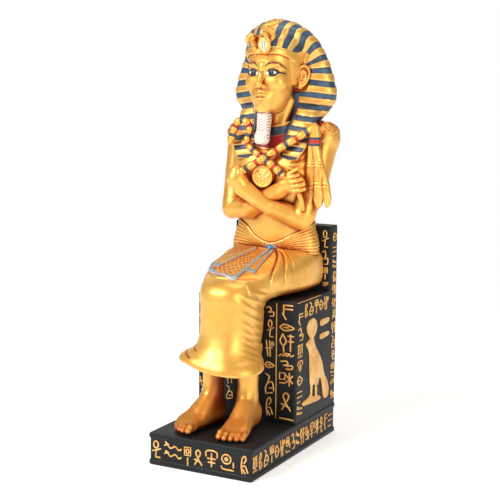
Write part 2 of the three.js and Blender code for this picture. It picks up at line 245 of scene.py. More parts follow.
def mesh_field(field, lo, hi, h):
    """Surface nets over the blocks that the surface passes through."""
    lo = np.array(lo, float) - 2.3 * h
    hi = np.array(hi, float) + 2.3 * h
    ns = np.ceil((hi - lo) / (h * B * S)).astype(int)
    n_cells = ns * S * B
    corner = np.array([(a, b, c) for a in (0, 1) for b in (0, 1) for c in (0, 1)])
    edges = [(i, j) for i in range(8) for j in range(i + 1, 8)
             if np.abs(corner[i] - corner[j]).sum() == 1]

    def blocks_of(job):
        g = (np.arange(S) + 0.5) * B * h
        o = lo + np.array(job) * S * B * h
        x, y, z = np.meshgrid(o[0] + g, o[1] + g, o[2] + g, indexing="ij")
        d = field(x.ravel().astype(F), y.ravel().astype(F), z.ravel().astype(F))
        keep = np.nonzero(np.abs(d) < 0.5 * math.sqrt(3) * B * h * 1.3 + 0.6)[0]
        if not len(keep):
            return None
        idx = np.stack(np.unravel_index(keep, (S, S, S)), 1) + np.array(job) * S
        return idx

    def cells_of(idx):
        r = np.arange(B + 1)
        gx = lo[0] + (idx[:, :1] * B + r) * h
        gy = lo[1] + (idx[:, 1:2] * B + r) * h
        gz = lo[2] + (idx[:, 2:] * B + r) * h
        nb = len(idx)
        shape = (nb, B + 1, B + 1, B + 1)
        x = np.broadcast_to(gx[:, :, None, None], shape).reshape(-1).astype(F)
        y = np.broadcast_to(gy[:, None, :, None], shape).reshape(-1).astype(F)
        z = np.broadcast_to(gz[:, None, None, :], shape).reshape(-1).astype(F)
        v = field(x, y, z).reshape(shape)
        inside = v < 0
        cnt = np.zeros((nb, B, B, B), np.int8)
        for a, b, c in corner:
            cnt += inside[:, a:a + B, b:b + B, c:c + B]
        cell = np.argwhere((cnt > 0) & (cnt < 8))
        if not len(cell):
            return None
        q, ci, cj, ck = cell.T
        vals = np.stack([v[q, ci + a, cj + b, ck + c] for a, b, c in corner], 1)
        pos = np.zeros((len(cell), 3))
        hits = np.zeros(len(cell))
        for i, j in edges:
            va, vb = vals[:, i], vals[:, j]
            m = (va < 0) != (vb < 0)
            t = np.where(m, va / np.where(m, va - vb, 1), 0)
            pos += m[:, None] * (corner[i] + t[:, None] * (corner[j] - corner[i]))
            hits += m
        pos /= hits[:, None]
        glob = idx[q] * B + cell[:, 1:]
        verts = lo + (glob + pos) * h
        ids = (glob[:, 0] * n_cells[1] + glob[:, 1]) * n_cells[2] + glob[:, 2]
        faces = []
        stride = np.array([n_cells[1] * n_cells[2], n_cells[2], 1])
        base = inside[:, :B, :B, :B]
        for ax in range(3):
            sl = [slice(0, B)] * 3
            sl[ax] = slice(1, B + 1)
            nxt = inside[(slice(None),) + tuple(sl)]
            e = np.argwhere(base != nxt)
            if not len(e):
                continue
            g = idx[e[:, 0]] * B + e[:, 1:]
            gid = (g * stride).sum(1)
            a, b = stride[(ax + 1) % 3], stride[(ax + 2) % 3]
            quad = np.stack([gid - a - b, gid - b, gid, gid - a], 1)
            flip = ~base[e[:, 0], e[:, 1], e[:, 2], e[:, 3]]
            quad[flip] = quad[flip][:, ::-1]
            faces.append(quad)
        beyond = []
        for ax in range(3):
            for end, way in ((0, -1), (B, 1)):
                side = inside.take(end, axis=ax + 1).reshape(nb, -1)
                beyond.append(idx[side.any(1) & ~side.all(1)] + way * np.eye(3, dtype=int)[ax])
        return verts, ids, (np.concatenate(faces) if faces else np.zeros((0, 4), np.int64)), np.concatenate(beyond)

    jobs = [(a, b, c) for a in range(ns[0]) for b in range(ns[1]) for c in range(ns[2])]
    lists = [i for i in POOL.map(blocks_of, jobs) if i is not None]
    done = set()
    V, I, Q, chunks = [], [], [], []
    for _ in range(5):
        near = set()
        for r in POOL.map(cells_of, lists):
            if r is not None:
                V.append(r[0]); I.append(r[1]); Q.append(r[2])
                near.update(map(tuple, r[3][((r[3] >= 0) & (r[3] < ns * S)).all(1)].tolist()))
        for i in lists:
            done.update(map(tuple, i.tolist()))
        ids = np.concatenate(I)
        quads = np.concatenate(Q)
        missing = np.setdiff1d(np.unique(quads), ids)
        c = np.stack([missing // (n_cells[1] * n_cells[2]), missing // n_cells[2] % n_cells[1],
                      missing % n_cells[2]], 1) // B
        new = sorted((set(map(tuple, c.tolist())) | near) - done)
        if not new:
            break
        lists = [np.array([b]) for b in new]
    order = np.argsort(ids)
    place = np.searchsorted(ids[order], quads)
    place = np.clip(place, 0, len(ids) - 1)
    ok = (ids[order][place] == quads).all(1)
    quads = order[place[ok]]
    at = 0
    for v in V:
        chunks.append(slice(at, at + len(v)))
        at += len(v)
    verts = np.concatenate(V)
    # chunks of a few thousand points that lie together
    return verts, quads, chunks


TETRA = np.array([(1, -1, -1), (-1, -1, 1), (-1, 1, -1), (1, 1, 1)], F)


def gradient(field, p, e):
    g = np.zeros((len(p), 3), F)
    val = np.zeros(len(p), F)
    for k in TETRA:
        v = field(p[:, 0] + k[0] * e, p[:, 1] + k[1] * e, p[:, 2] + k[2] * e)
        g += v[:, None] * k
        val += v
    return val / 4, g / (4 * e)


def settle(field, verts, chunks, h):
    """Moves the vertices onto the surface and gives their normals."""
    verts = verts.astype(F)

    def one(c):
        p = verts[c].copy()
        first = p.copy()
        for _ in range(2):
            val, g = gradient(field, p, 0.08)
            gg = np.maximum((g * g).sum(1), 0.15)
            p = p - np.clip(val / gg, -0.5 * h, 0.5 * h)[:, None] * g
        move = p - first
        far = np.abs(move).max(1) > 0.8 * h
        p[far] = first[far]
        _, g = gradient(field, p, 0.35 * h)
        n = g / np.maximum(np.linalg.norm(g, axis=1, keepdims=True), 1e-6)
        return p, n

    out = list(POOL.map(one, chunks))
    return np.concatenate([o[0] for o in out]), np.concatenate([o[1] for o in out])


PIECES = []      # (name, field, h, paint)


def piece(name, field, h, paint=None, node="seated_pharaoh"):
    PIECES.append((name, field, h, paint))
    return field


# ---------------------------------------------------------------- legs and feet
LOW = 19.7


def leg_fields(side):
    x = 12 * side
    tx = 17 * side
    broad = 0.8 if side > 0 else 0.0

    def at(t):
        return x + (tx - x) * t

    shin = [Cone((x * 0.95, -23.0, 88), (x * 0.99, -21.4, 58), 6.0, 7.0),
            (Cone((x * 0.99, -21.4, 58), (x, -20.6, 36), 7.0, 5.5), 1),
            (Ell((x * 1.0, -15.6, 70), (6.2, 5.4, 15)), 3),
            (Cone((x, -20.4, 36), (x, -19.8, 28), 5.5, 5.5), 1),
            (Cone((x, -28.4, 78), (x, -25.0, 42), 1.4, 1.2), 3.5),
            (Cone((x, -22.0, 39), (at(0.35), -33.0, 29.0), 4.6, 4.6), 6),
            (Ell((x + 4.6 * side, -17.6, 30.0), (1.3, 2.8, 2.8)), 3)]
    foot = Loft("y", [
        [-51.9, tx - (1.9 if side > 0 else -4.4), LOW + 1.7, (5.4 if side > 0 else 3.4), 1.4, 2.3],
        [-50.2, tx - (1.0 if side > 0 else -2.6), LOW + 2.4, (7.2 if side > 0 else 5.2), 2.3, 2.4],
        [-46.4, tx - (2.0 if side > 0 else -0.6), LOW + 3.4, 7.9 + broad * 0.5, 3.4, 2.3],
        [-42.5, tx - (1.5 if side > 0 else 0), LOW + 4.3, 8.0 + 1.0 * broad, 4.5, 2.4],
        [-37.5, at(0.7) - 0.7 * broad, LOW + 5.5, 7.6 + 0.7 * broad, 6.1, 2.3],
        [-27.5, at(0.3), LOW + 8.2, 6.7, 9.2, 2.1],
        [-17.5, x, LOW + 7.5, 6.5, 9, 2.1],
        [-12.6, x, LOW + 5, 4.4, 5.2, 2]], 1.8)
    toes = []
    nails = []
    # big toe to little toe: place across the foot, tip, radius
    tips = (-54.6, -55.0, -54.2, -53.0, -51.2) if side > 0 else (-54.6, -53.9, -52.4, -50.4, -48.0)
    spread = (-6.5, -2.6, 1.1, 4.6, 7.7) if side > 0 else (-5.3, -1.6, 1.4, 4.1, 6.6)
    for off, tip, r in zip(spread, tips, (2.0, 1.74, 1.68, 1.6, 1.46)):
        cx = tx - 0.6 * side + off * side
        up = r - 1.4
        root = (cx - 0.24 * off * side, tip + 10.5, LOW + 3.7 + up)
        mid = (cx, tip + 4.2, LOW + 3.5 + up)
        end = (cx, tip + r * 0.95, LOW + 1.6 + up * 0.9)
        toes += [(Cone(root, mid, r * 1.12, r * 1.06), 0.45), (Cone(mid, end, r * 1.05, r), 0.3)]
        nails.append((cx, tip + r * 0.8, LOW + 1.6 + up * 0.9 + r * 0.72, r))
    body = Group(shin + [(foot, 4)] + [(t, k) for t, k in toes], 0)
    return body, nails


def make_leg(side, name):
    body, nails = leg_fields(side)
    nail_shapes = [Ell((nx, ny - 0.4, nz + 0.2), (r * 0.62, r * 0.75, 0.7), None) for nx, ny, nz, r in nails]
    nail = Group(nail_shapes, 0.0)

    def fn(x, y, z):
        d = body(x, y, z)
        n = nail(x, y, z)
        # a nail is a low plate with a groove round it
        d = d + 0.16 * np.exp(-((n - 0.05) / 0.22) ** 2)
        d = d - 0.10 * step(0.05, -0.15, n)
        return smax(d, LOW - z, 0.4)

    f = Shape(fn, body.lo, body.hi)
    f.lo[2] = LOW
    f.hi[2] = 76
    full = Shape(lambda x, y, z: smax(fn(x, y, z), z - 71, 0.5), f.lo, [f.hi[0], f.hi[1], 71])

    def shade(x, y, z, n):
        # painted shade: a little all over, more towards the feet, most on the inner flank where little light reaches
        inner = step(-0.1, 0.75, n[:, 0] * -side) * step(24, 34, z) * step(-34, -22, y)
        low = 0.42 * step(46, 28, z)
        return {"recess": 0.14 + low + 0.6 * inner, "maroon": 0.85 * inner * step(-0.5, 3.5, (x - 12 * side) * -side)}

    piece(name, full, 0.54, shade)
    return full


leg_right = make_leg(-1, "leg_right")
leg_left = make_leg(1, "leg_left")

# ---------------------------------------------------------------- kilt
lower = Loft("z", [
    [57.4, 0, -33, 27.2, 18, 2.2], [60.2, 0, -32.4, 26.6, 18.2, 2.2], [63, 0.1, -31, 24.6, 18.4, 2.2],
    [66, 0.3, -28.6, 21.4, 18.9, 2.2], [70, 0.7, -26, 19.2, 19.4, 2.2], [74, 1.0, -24, 18.1, 20, 2.25],
    [80, 1.2, -22.2, 17.6, 20.4, 2.3], [90, 1.2, -21.6, 17.7, 20.5, 2.3], [99, 1.1, -21.4, 17.8, 20.5, 2.4],
    [103.5, 0.9, -21.2, 17.3, 20.0, 2.5], [107.3, 0.7, -20.8, 16.0, 18.2, 2.5], [110.0, 0.5, -20.4, 13.4, 15.2, 2.4],
    [111.6, 0.4, -20.2, 9.4, 10.8, 2.3]], 1.6)


def lap_row(y, top, half, power, drop=0.0):
    low = 95.9 - drop
    return [y, -0.5, (low + top) / 2, half, (top - low) / 2, power]


lap = Loft("y", [
    [-31.0, 0.4, 99.4, 8, 6.4, 2.4], [-29.6, 0.4, 99.8, 12.6, 9.8, 2.7], [-26.6, 0.3, 100.0, 15.8, 12.0, 2.9],
    lap_row(-21, 113.4, 19.2, 3.2, 2), lap_row(-4, 117.6, 24.9, 3.4),
    lap_row(14, 120.9, 29.2, 3.7), lap_row(30, 124.2, 31.5, 3.8), lap_row(46.4, 125, 31.0, 3.6)], 1.8)


def kilt_smooth(x, y, z):
    zz = z
    for _ in range(2):
        low = 1 - step(57.4, 74, zz)
        zz = z - low * (0.14 * (y + 51) - 0.095 * x + 1.7 * np.exp(-((x + 14) / 9) ** 2) * step(-28, -40, y))
    d = smin(lower(x, y, zz), lap(x, y, z), 5)
    return smax(d, y - 46.5, 0.4)


FANS = ((-36.5, 0.95, 0.55, 4, 48), (-31, -0.42, 1.3, 14, 50), (-26, 0.70, 0.6, 8, 42), (-20.5, -0.36, 1.2, 16, 44),
        (-15.5, 0.34, 0.9, 13, 36), (-9, 0.30, 0.8, 14, 31), (-1.5, 0.30, 0.8, 14, 30), (5.5, 0.26, 0.8, 14, 29),
        (12, 0.22, 0.8, 14, 28), (19, 0.18, 0.8, 14, 28))

def fan_place(x, y):
    ax = np.abs(x)
    dx, dy = ax - 2 + 2.5 * (x < 0), y - 28
    r = np.sqrt(dx * dx + dy * dy) + 1e-3
    return r, np.degrees(np.arctan2(dy, dx)) + 0.95 * r - 0.0076 * r * r


def creases(x, y, z):
    """Two short creases on the flare of the hem."""
    a = np.exp(-((z - 68.9 + 0.33 * (x + 11.6)) / 0.40) ** 2) * step(-10.6, -11.8, x) * step(-22, -19, x)
    b = np.exp(-((z - 65.2 + 0.224 * (x + 13.5)) / 0.40) ** 2) * step(-12.6, -13.8, x) * step(-25, -21, x)
    return np.maximum(a, b) * step(-33, -35, y)


def kilt_fn(x, y, z):
    d = kilt_smooth(x, y, z)
    ax = np.abs(x)
    d = d + 0.45 * creases(x, y, z)
    # drape folds that sweep down behind the knee, on both sides
    yy = np.clip(y + 38, -4, 30)
    s = (z + 0.62 * yy - 0.0098 * yy * yy) / 4.9 + 0.25 + 0.20 * np.sin(z * 0.17)
    f = s - np.floor(s)
    ridge = np.exp(-((f - 0.5) / 0.19) ** 2) + 0.18 * np.cos((f - 0.5) * 2 * math.pi)
    ridge = ridge * np.where(x < 0, 0.3, 1.0) * (0.4 + 0.6 * step(-8, -18, y))
    w = step(-41, -31, y) * step(4, -6, y) * step(7.5, 13.5, ax) * step(58, 64, z) * step(109, 100, z)
    tall = 0.36 + 0.14 * np.sin(z * 0.13 + 1.0)
    d = d - tall * ridge * w
    # a few finer creases between them
    g = np.sin((z + 0.9 * yy - 0.012 * yy * yy) * 1.5 + 0.9 * np.sin(z * 0.35))
    d = d - 0.10 * g * w * step(-36, -26, y)
    # very soft long folds down the front of the skirt
    w = step(97, 90, z) * step(58, 62, z) * step(-33, -38, y)
    d = d - 0.07 * np.cos((x + 1.5) * 0.55) * w
    # folds that fan out over the thighs from the knot of the sash
    r, ang = fan_place(x, y)
    top = step(103, 109, z)
    weak = np.where(x < 0, 0.6, 1.0)
    for centre, deep, wide, r0, r1 in FANS:
        delta = (ang - centre) * r * 0.01745
        w = top * weak * step(r0, r0 + 4, r) * step(r1, r1 - 10, r)
        d = d + deep * (np.exp(-(delta / wide) ** 2) - 0.5 * np.exp(-((delta - 1.7) / 1.3) ** 2)) * w
    # the wrapped edge beside the apron is a low step
    delta = (ang + 36.5) * r * 0.01745
    d = d - 0.45 * step(-0.3, 0.5, delta) * step(9, 3, delta) * step(4, 10, r) * step(50, 38, r) * top * (x > 0)
    # short pleats where the cloth is pressed against the seat
    w = step(22, 26, ax) * step(105.0, 98.5, z) * step(-2, 6, y)
    d = d - 0.42 * np.sin(y * 2.1 + 0.25 * (z - 98) + 0.8 * np.sin(y * 0.7)) * w
    return d


def kilt_paint(x, y, z, n):
    r, ang = fan_place(x, y)
    # painted shade in the grooves of the folds that fan out over the thighs
    dark = np.zeros(x.shape)
    for centre, deep, wide, r0, r1 in FANS:
        delta = (ang - centre) * r * 0.01745
        w = step(103, 109, z) * step(r0, r0 + 4, r) * step(r1, r1 - 10, r) * np.where(x < 0, 0.5, 1.0)
        dark = dark + max(deep, -0.1) * 0.9 * np.exp(-(delta / (wide * 0.9)) ** 2) * w
    # painted shade around the knot and along the seat, where the figure meets the block
    kilt_shade = 0.28 * step(26, 8, np.hypot(x - 3, y - 18)) * step(108, 112, z)
    kilt_shade = kilt_shade + 0.35 * step(104, 97, z) * step(0, 8, y)
    # painted shade: the flanks below the knee are darker than the front
    kilt_shade = kilt_shade + 0.20 * step(10, 16, np.abs(x)) * step(-40, -32, y) * step(108, 98, z)
    # painted shade in the two creases and on the lower front of the flare
    kilt_shade = kilt_shade + 1.3 * creases(x, y, z) + 0.26 * step(82, 68, z) * step(-34, -42, y)
    # painted shade in the troughs of the pleats pressed against the seat
    w = step(22, 26, np.abs(x)) * step(105.0, 98.5, z) * step(-2, 6, y)
    kilt_shade = kilt_shade + 0.35 * w * np.clip(-np.sin(y * 2.1 + 0.25 * (z - 98) + 0.8 * np.sin(y * 0.7)), 0, 1)
    return {"recess": dark + kilt_shade}


kilt = Shape(kilt_fn, [-32, -52, 54], [32, 46.6, 126])
piece("kilt", kilt, 0.68, kilt_paint)

# ---------------------------------------------------------------- torso
torso_base = Loft("z", [
    [112, 0, 37, 28.2, 9.2, 2.5], [124, 0, 38, 28.6, 9.6, 2.4], [131, 0, 38.6, 27.4, 11.0, 2.3],
    [138, 0, 39.2, 25.6, 12.8, 2.2], [154, 0, 40, 27, 16.6, 2.2], [170, 0, 40, 29.6, 17.6, 2.2],
    [184, 0, 41, 31.6, 16.4, 2.3], [194, 0, 43, 30.4, 13.2, 2.2], [201, 0, 44, 20, 9.4, 2],
    [206, 0, 43, 11, 7, 2]], 1.5)
belly = Ell((1.5, 31.5, 135), (15, 6.2, 13))
chest_l = Ell((12.5, 32, 172), (14, 8, 11))
chest_r = Ell((-12.5, 32, 172), (14, 8, 11))
torso_group = Group([torso_base, (belly, 5), (chest_l, 6), (chest_r, 6)])


def torso_smooth(x, y, z):
    return torso_group(x, y, z)


def chest_feathers(x, y, z):
    """Fine ridges that spread over the chest from the end of the crook."""
    dx, dz = x - 12.0, z - 176.0
    r = np.sqrt(dx * dx + dz * dz) + 1e-3
    th = np.arctan2(dz, dx)
    w = step(3.0, 5.0, r) * step(19, 15, r) * step(12.5, 14.5, x) * step(42, 38, y) * step(158, 162, z)
    return np.sin(th * 13 + 0.2 * np.sin(r * 0.9)) * w, w


def torso_fn(x, y, z):
    d = torso_smooth(x, y, z)
    g, w = chest_feathers(x, y, z)
    d = d - 0.22 * (g + 0.3 * w)
    # spine and shoulder blades, plain
    w = step(50, 55, y)
    d = d + 0.7 * np.exp(-(x / 2.6) ** 2) * w * step(140, 150, z)
    d = d - 0.8 * np.exp(-((np.abs(x) - 14) / 5.5) ** 2 - ((z - 178) / 11) ** 2) * w
    d = smax(d, 116 - z, 0.5)
    d = smax(d, np.where(z < 137.9, y - 46.5, -9.0), 0.3)
    return d


# broad collar: a raised ring of bands that follows the chest
def collar_band(x, z):
    return z - 0.022 * x * x


NECK = Cone((0, 40.6, 190), (0, 38.2, 218), 10.9, 11.6)


def collar_fn(x, y, z):
    c = collar_band(x, z)
    base = smin(torso_smooth(x, y, z), NECK(x, y, z), 3.0)
    lift = 1.15 - 0.02 * (200 - c)
    d = base - lift
    for edge in (200.0, 194.2, 186.7):
        d = d + 0.28 * np.exp(-((c - edge) / 0.45) ** 2)
    d = smax(d, 185.9 - c, 0.7)
    d = smax(d, c - 201.3, 0.8)
    d = smax(d, -(base + 1.5), 0.3)
    return smax(d, y - 46, 0.5)


torso = Shape(torso_fn, [-33, 22, 115.5], [33, 59.5, 207])


def torso_paint(x, y, z, n):
    g, w = chest_feathers(x, y, z)
    # painted shade in the grooves of the chest ridges
    return {"recess": 0.5 * np.clip(-g, 0, 1)}


piece("torso", torso, 0.8, torso_paint)
collar = Shape(collar_fn, [-20, 22, 184], [20, 46, 205])


def collar_paint(x, y, z, n):
    c = collar_band(x, z)
    blue = np.minimum(199.7 - c, c - 194.4)
    red = np.minimum(194.0 - c, c - 186.9)
    return {"blue": blue, "red": red}


piece("collar", collar, 0.5, collar_paint)

# belt of wrapped cloth, with its pleats drawn together at the buckle
BELT_ANGLE = np.array([-180, -110, -82, -70, -55, -38, -20, 0, 20, 38, 55, 70, 82, 110, 180], float)
BELT_TOP = np.array([142.5, 142, 141, 140, 136.5, 131, 128.4, 127.0, 127.6, 129.6, 133.2, 136.4, 138.6, 141, 142.5])


def belt_top(x, y):
    phi = np.degrees(np.arctan2(x - 1.0, -(y - 38.5)))
    return np.interp(phi, BELT_ANGLE, BELT_TOP).astype(F), phi


def belt_fn(x, y, z):
    top, phi = belt_top(x, y)
    bottom = 122.0
    v = (z - bottom) / (top - bottom)
    d = torso_smooth(x, y, z) - 0.8 - 0.5 * step(1, 0.2, v)
    w = v * 8.0
    f = np.abs(w - np.round(w)) * 2                 # 0 in a groove, 1 on a fold
    pitch = np.maximum((top - bottom) / 8.0, 0.3)
    depth = np.clip(pitch * 0.34, 0.12, 0.62)
    d = d - depth * (np.sqrt(np.clip(1 - (1 - f) ** 2, 0, 1)) - 0.6) * step(178, 150, np.abs(phi))
    d = smax(d, z - top, 0.9)
    d = smax(d, bottom - 2.2 - z, 0.3)
    d = smax(d, -(torso_smooth(x, y, z) + 1.5), 0.3)
    d = smax(d, np.where(z < 137.9, y - 46.5, -9.0), 0.3)
    return d


belt = Shape(belt_fn, [-33, 24, 119.5], [33, 58, 143.5])


def belt_paint(x, y, z, n):
    top, phi = belt_top(x, y)
    w = (z - 122.0) / (top - 122.0) * 8.0
    f = np.abs(w - np.round(w)) * 2
    # painted shade near the buckle and in the grooves of the pleats, and a painted highlight along the top edge
    near = 0.12 * step(70, 5, np.abs(phi))
    return {"recess": near + 0.30 * step(0.45, 0.05, f), "pale": 0.2 - np.abs(z - top + 0.5)}


piece("belt", belt, 0.52, belt_paint)

buckle_frame = Ell((2.6, 26.0, 124.0), (4.1, 2.6, 2.8))
buckle_stone = Ell((2.6, 24.7, 124.0), (3.0, 2.1, 1.85))


def buckle_fn(x, y, z):
    d = buckle_frame(x, y, z)
    ring = np.sqrt(((x - 2.6) / 3.25) ** 2 + ((z - 124.0) / 2.1) ** 2)
    d = d + 0.35 * np.exp(-((ring - 1.0) / 0.10) ** 2)
    return smin(d, buckle_stone(x, y, z), 0.1)


def buckle_paint(x, y, z, n):
    ring = np.sqrt(((x - 2.6) / 2.75) ** 2 + ((z - 124.0) / 1.75) ** 2)
    return {"sky": (1.12 - ring) * 2.0, "white": (ring - 1.18) * 2.0}


buckle = Shape(buckle_fn, [-2.0, 22.0, 120.8], [7.2, 29.2, 127.4])
piece("buckle", buckle, 0.3, buckle_paint)


# ---------------------------------------------------------------- apron and sash ends
def convex(x, y, corners):
    """Signed distance to a convex outline, negative inside, corners counterclockwise."""
    d = None
    n = len(corners)
    for i in range(n):
        (ax, ay), (bx, by) = corners[i], corners[(i + 1) % n]
        L = math.hypot(bx - ax, by - ay)
        e = ((y - ay) * -(bx - ax) + (x - ax) * (by - ay)) / L
        d = e if d is None else np.maximum(d, e)
    return d


def edge_line(x, y, a, b):
    return ((y - a[1]) * -(b[0] - a[0]) + (x - a[0]) * (b[1] - a[1])) / math.hypot(b[0] - a[0], b[1] - a[1])


PANEL = [(-22.5, 27.0), (-25.0, -4.0), (-19.2, -15.7), (-14.4, -20.5), (-8.3, -26.3), (3.1, -30.6), (8.4, -31.0),
         (4.0, 22.8)]
TAIL_R = [(-6.4, 23.4), (-23.4, -4.5), (-21.3, -10.3), (-12.4, -15.2), (-4.6, 20.2)]
TAIL_L = [(5.0, 22.4), (6.2, -16.2), (13.6, -16.8), (7.0, 21.4)]


def apron_coords(x, y):
    """0..1 down the panel and -1..1 across it."""
    t = (24.5 - y) / 49.5 - 0.0
    left = -6.2 + (-17.9 + 6.2) * (25.5 - y) / 45.1
    right = 3.9 + (8.7 - 3.9) * (23.5 - y) / 53.9
    return t, (x - (left + right) / 2) / np.maximum((right - left) / 2, 1)


def apron_grain(x, y):
    t, u = apron_coords(x, y)
    row_ = np.floor(t * 17 + 0.1 * np.sin(u * 7))
    g = np.sin(t * 17 * 2 * math.pi) * 0.65 + np.cos(u * 24 + row_ * 1.9) * 0.55
    return g + 0.35 * np.sin(u * 10 + t * 41)


def apron_fn(x, y, z):
    base = kilt_smooth(x, y, z)
    p = convex(x, y, PANEL)
    a = convex(x, y, TAIL_R)
    b = convex(x, y, TAIL_L)
    # small carved pattern inside the border
    q = np.maximum.reduce([edge_line(x, y, PANEL[i], PANEL[i + 1]) for i in range(2, 7)])
    inner = step(-2.0, -2.7, q)
    g = apron_grain(x, y)
    lift_p = 1.10 - 0.50 * inner + 0.30 * g * inner
    lift_a = 1.45 - 0.30 * step(-0.9, -1.4, a) + 0.16 * np.sin(y * 2.2 + x) * step(-0.8, -1.2, a)
    lift_b = 0.80 - 0.30 * step(-0.9, -1.4, b) + 0.16 * np.sin(y * 2.4 + x) * step(-0.9, -1.4, b)
    d = np.minimum(smax(base - lift_p, p, 0.5), smax(base - lift_b, b, 0.4))
    d = np.minimum(d, smax(base - lift_a, a, 0.4))
    d = smax(d, -(base + 1.4), 0.3)
    return smax(d, 104 - z, 0.3)


def apron_paint(x, y, z, n):
    p = convex(x, y, PANEL)
    a = convex(x, y, TAIL_R)
    b = convex(x, y, TAIL_L)
    q = np.maximum.reduce([edge_line(x, y, PANEL[i], PANEL[i + 1]) for i in range(2, 7)])
    band = np.minimum(-q - 0.30, 1.85 + q)
    ta = np.maximum(np.minimum(-a - 0.25, 0.95 + a), np.minimum(np.abs(edge_line(x, y, TAIL_R[2], TAIL_R[3]) + 2.0) * -1 + 1.6, -a - 0.25))
    tb = np.maximum(np.minimum(-b - 0.20, 0.95 + b), np.minimum(-12.6 - y, -b - 0.2))
    on_a = a < 0.05
    on_p = (p < 0.05) & ~on_a
    teal = np.where(on_a, ta, np.where(on_p, band, tb))
    pale = np.where(on_a, np.minimum(-a + 0.2, 0.35 + a), np.where(on_p, np.maximum(np.minimum(-q + 0.2, 0.32 + q), np.minimum(-q - 1.88, 2.16 + q)),
                    np.minimum(-b + 0.2, 0.32 + b)))
    g = apron_grain(x, y)
    inner = step(-2.1, -2.6, q) * ~on_a * 1.0
    # painted shade over the apron, deeper in the grooves of the carved pattern, and painted highlights on its raised
    # grain
    recess = 0.34 + 0.75 * step(0.15, -0.65, g) * inner
    grain_highlight = np.where((inner > 0.5), (g - 0.85) * 0.5, -1.0)
    return {"teal": teal, "white": pale, "recess": recess, "pale": grain_highlight}


apron = Shape(apron_fn, [-26.5, -34, 104], [16, 28, 127])
piece("apron", apron, 0.42, apron_paint)

# ---------------------------------------------------------------- arms
def make_arm(side, elbow, forearm, wrist, sh_r, sh_out, sh_ell, mid_out, mid_r):
    sh = np.array([29.0 * side, 45.0, 190.6])
    el, fo, wr = (np.array(v[:3], float) for v in (elbow, forearm, wrist))
    mid = sh * 0.55 + el * 0.45
    return [(Cone(sh, mid + [mid_out * side, 0, 0], sh_r, mid_r), 0),
            (Ell(sh + [sh_out * side, 0, 3.2], sh_ell), 2.5),
            (Cone(mid + [mid_out * side, 0, 0], el + [mid_out * 0.4 * side, 1.2, 3], mid_r, 7.3), 0.8),
            (Cone(el + [mid_out * 0.4 * side, 1.2, 3], el, 7.3, elbow[3]), 0.8),
            (Cone(el, fo, elbow[3], forearm[3]), 0.6),
            (Cone(fo, wr, forearm[3], wrist[3]), 1.2)]


ARM_L = make_arm(1, (24.4, 25.6, 143.2, 6.4), (7.5, 19.8, 149.8, 6.0), (-3.0, 17.0, 155.6, 5.2), 9.7, 2.2, (8.6, 9.4, 9.4), 1.6, 8.4)
ARM_L += [(Cone((-3.0, 17.0, 155.6), (-12.2, 15.1, 162.2), 5.2, 5.8), 1.0),
          (Ell((27.6, 45.0, 200.8), (3.4, 4.0, 3.0)), 0.6)]
ARM_R = make_arm(-1, (-25.2, 26.4, 147.6, 6.9), (-11, 22.6, 148.9, 6.4), (11.2, 19.8, 161, 5.4), 9.0, 0.8, (8.2, 9.2, 9.2), 0.0, 8.0)
ARM_R += [(Ell((-27.6, 45.0, 200.8), (3.4, 4.0, 3.0)), 0.6)]
# right hand closed round the crook
HAND_R = [(Cone((11.2, 19.8, 161), (15.8, 18.6, 163.8), 5.3, 5.0), 0), (Ell((19.2, 17.6, 166.0), (3.8, 3.4, 6.2), (unit((0.9, -0.36, 0.2)), unit((0.33, 0.92, 0.1)), unit(np.cross(unit((0.9, -0.36, 0.2)), unit((0.33, 0.92, 0.1)))))), 2.0)]
AWAY = np.array((-0.30, 0.92, -0.1))
for kn, tp, r in (((20.6, 13.0, 169.7), (26.0, 14.6, 171.5), 1.42), ((22.0, 12.8, 167.1), (28.2, 14.6, 169.0), 1.5),
                  ((23.0, 13.0, 164.3), (29.8, 14.8, 166.2), 1.5), ((24.0, 13.4, 161.6), (30.2, 15.2, 163.3), 1.4)):
    k, e = np.array(kn) + AWAY * r * 0.9, np.array(tp) + AWAY * r
    m = k * 0.45 + e * 0.55 - AWAY * 0.4
    HAND_R += [(Cone((16.4, 18.0, 165.2), k + AWAY * 0.7, 4.0, r + 0.1), 1.6), (Cone(k, m, r * 1.04, r * 1.04), 0.3), (Cone(m, e, r * 1.04, r * 0.95), 0.15),
               (Cone(e, e + AWAY * 4.5 + [-1.6, 0, -0.2], r * 0.95, r * 0.85), 0.15)]
HAND_R += [(Ell((25.0, 18.8, 165.6), (4.2, 2.6, 5.2)), 0.5),
           (Cone((16.4, 17.6, 168.8), (19.8, 15.8, 171.6), 2.6, 1.9), 1.4), (Cone((19.8, 15.8, 171.6), (24.8, 16.6, 175.2), 1.8, 1.3), 0.4)]
# left hand: a closed hand whose smooth back is turned to the front
HAND_L = [(Cone((-12.2, 15.1, 162.2), (-16.2, 14.0, 168.0), 5.8, 6.4), 0), (Cone((-16.2, 14.0, 168.0), (-15.7, 13.8, 172.0), 6.4, 4.7), 1.0),
          (Cone((-12.6, 11.4, 169.6), (-10.9, 11.4, 173.6), 2.3, 1.8), 0.8)]
CREASE_L = [(c, 0.2) for c in tube([[-18.2, 11.4, 175.9, 0.5], [-15.6, 9.6, 176.2, 0.55], [-13.2, 8.9, 175.2, 0.5], [-12.2, 8.9, 172.6, 0.45], [-11.6, 9.4, 169.8, 0.3]], steps=3)]


def shoulder_relief(side, x, y, z):
    """1 on the worked cape over the shoulder, and the carved pattern there."""
    ax = x * side
    edge = (z - (189.4 + 0.9 * (ax - 30.3))) * 0.74
    zone = step(-0.2, 0.4, edge) * step(20, 24, ax)
    rim = (np.exp(-((edge - 0.35) / 0.42) ** 2) + np.exp(-((edge - 1.7) / 0.38) ** 2)) * step(20, 24, ax)
    g = np.sin(ax * 1.9 + z * 0.7 + 1.1 * np.sin(y * 1.1)) * np.sin(z * 1.7 - ax * 0.6 + y * 0.8 + 0.8 * np.sin(ax * 1.1))
    g = g * step(2.0, 2.8, edge)
    return zone, rim, g


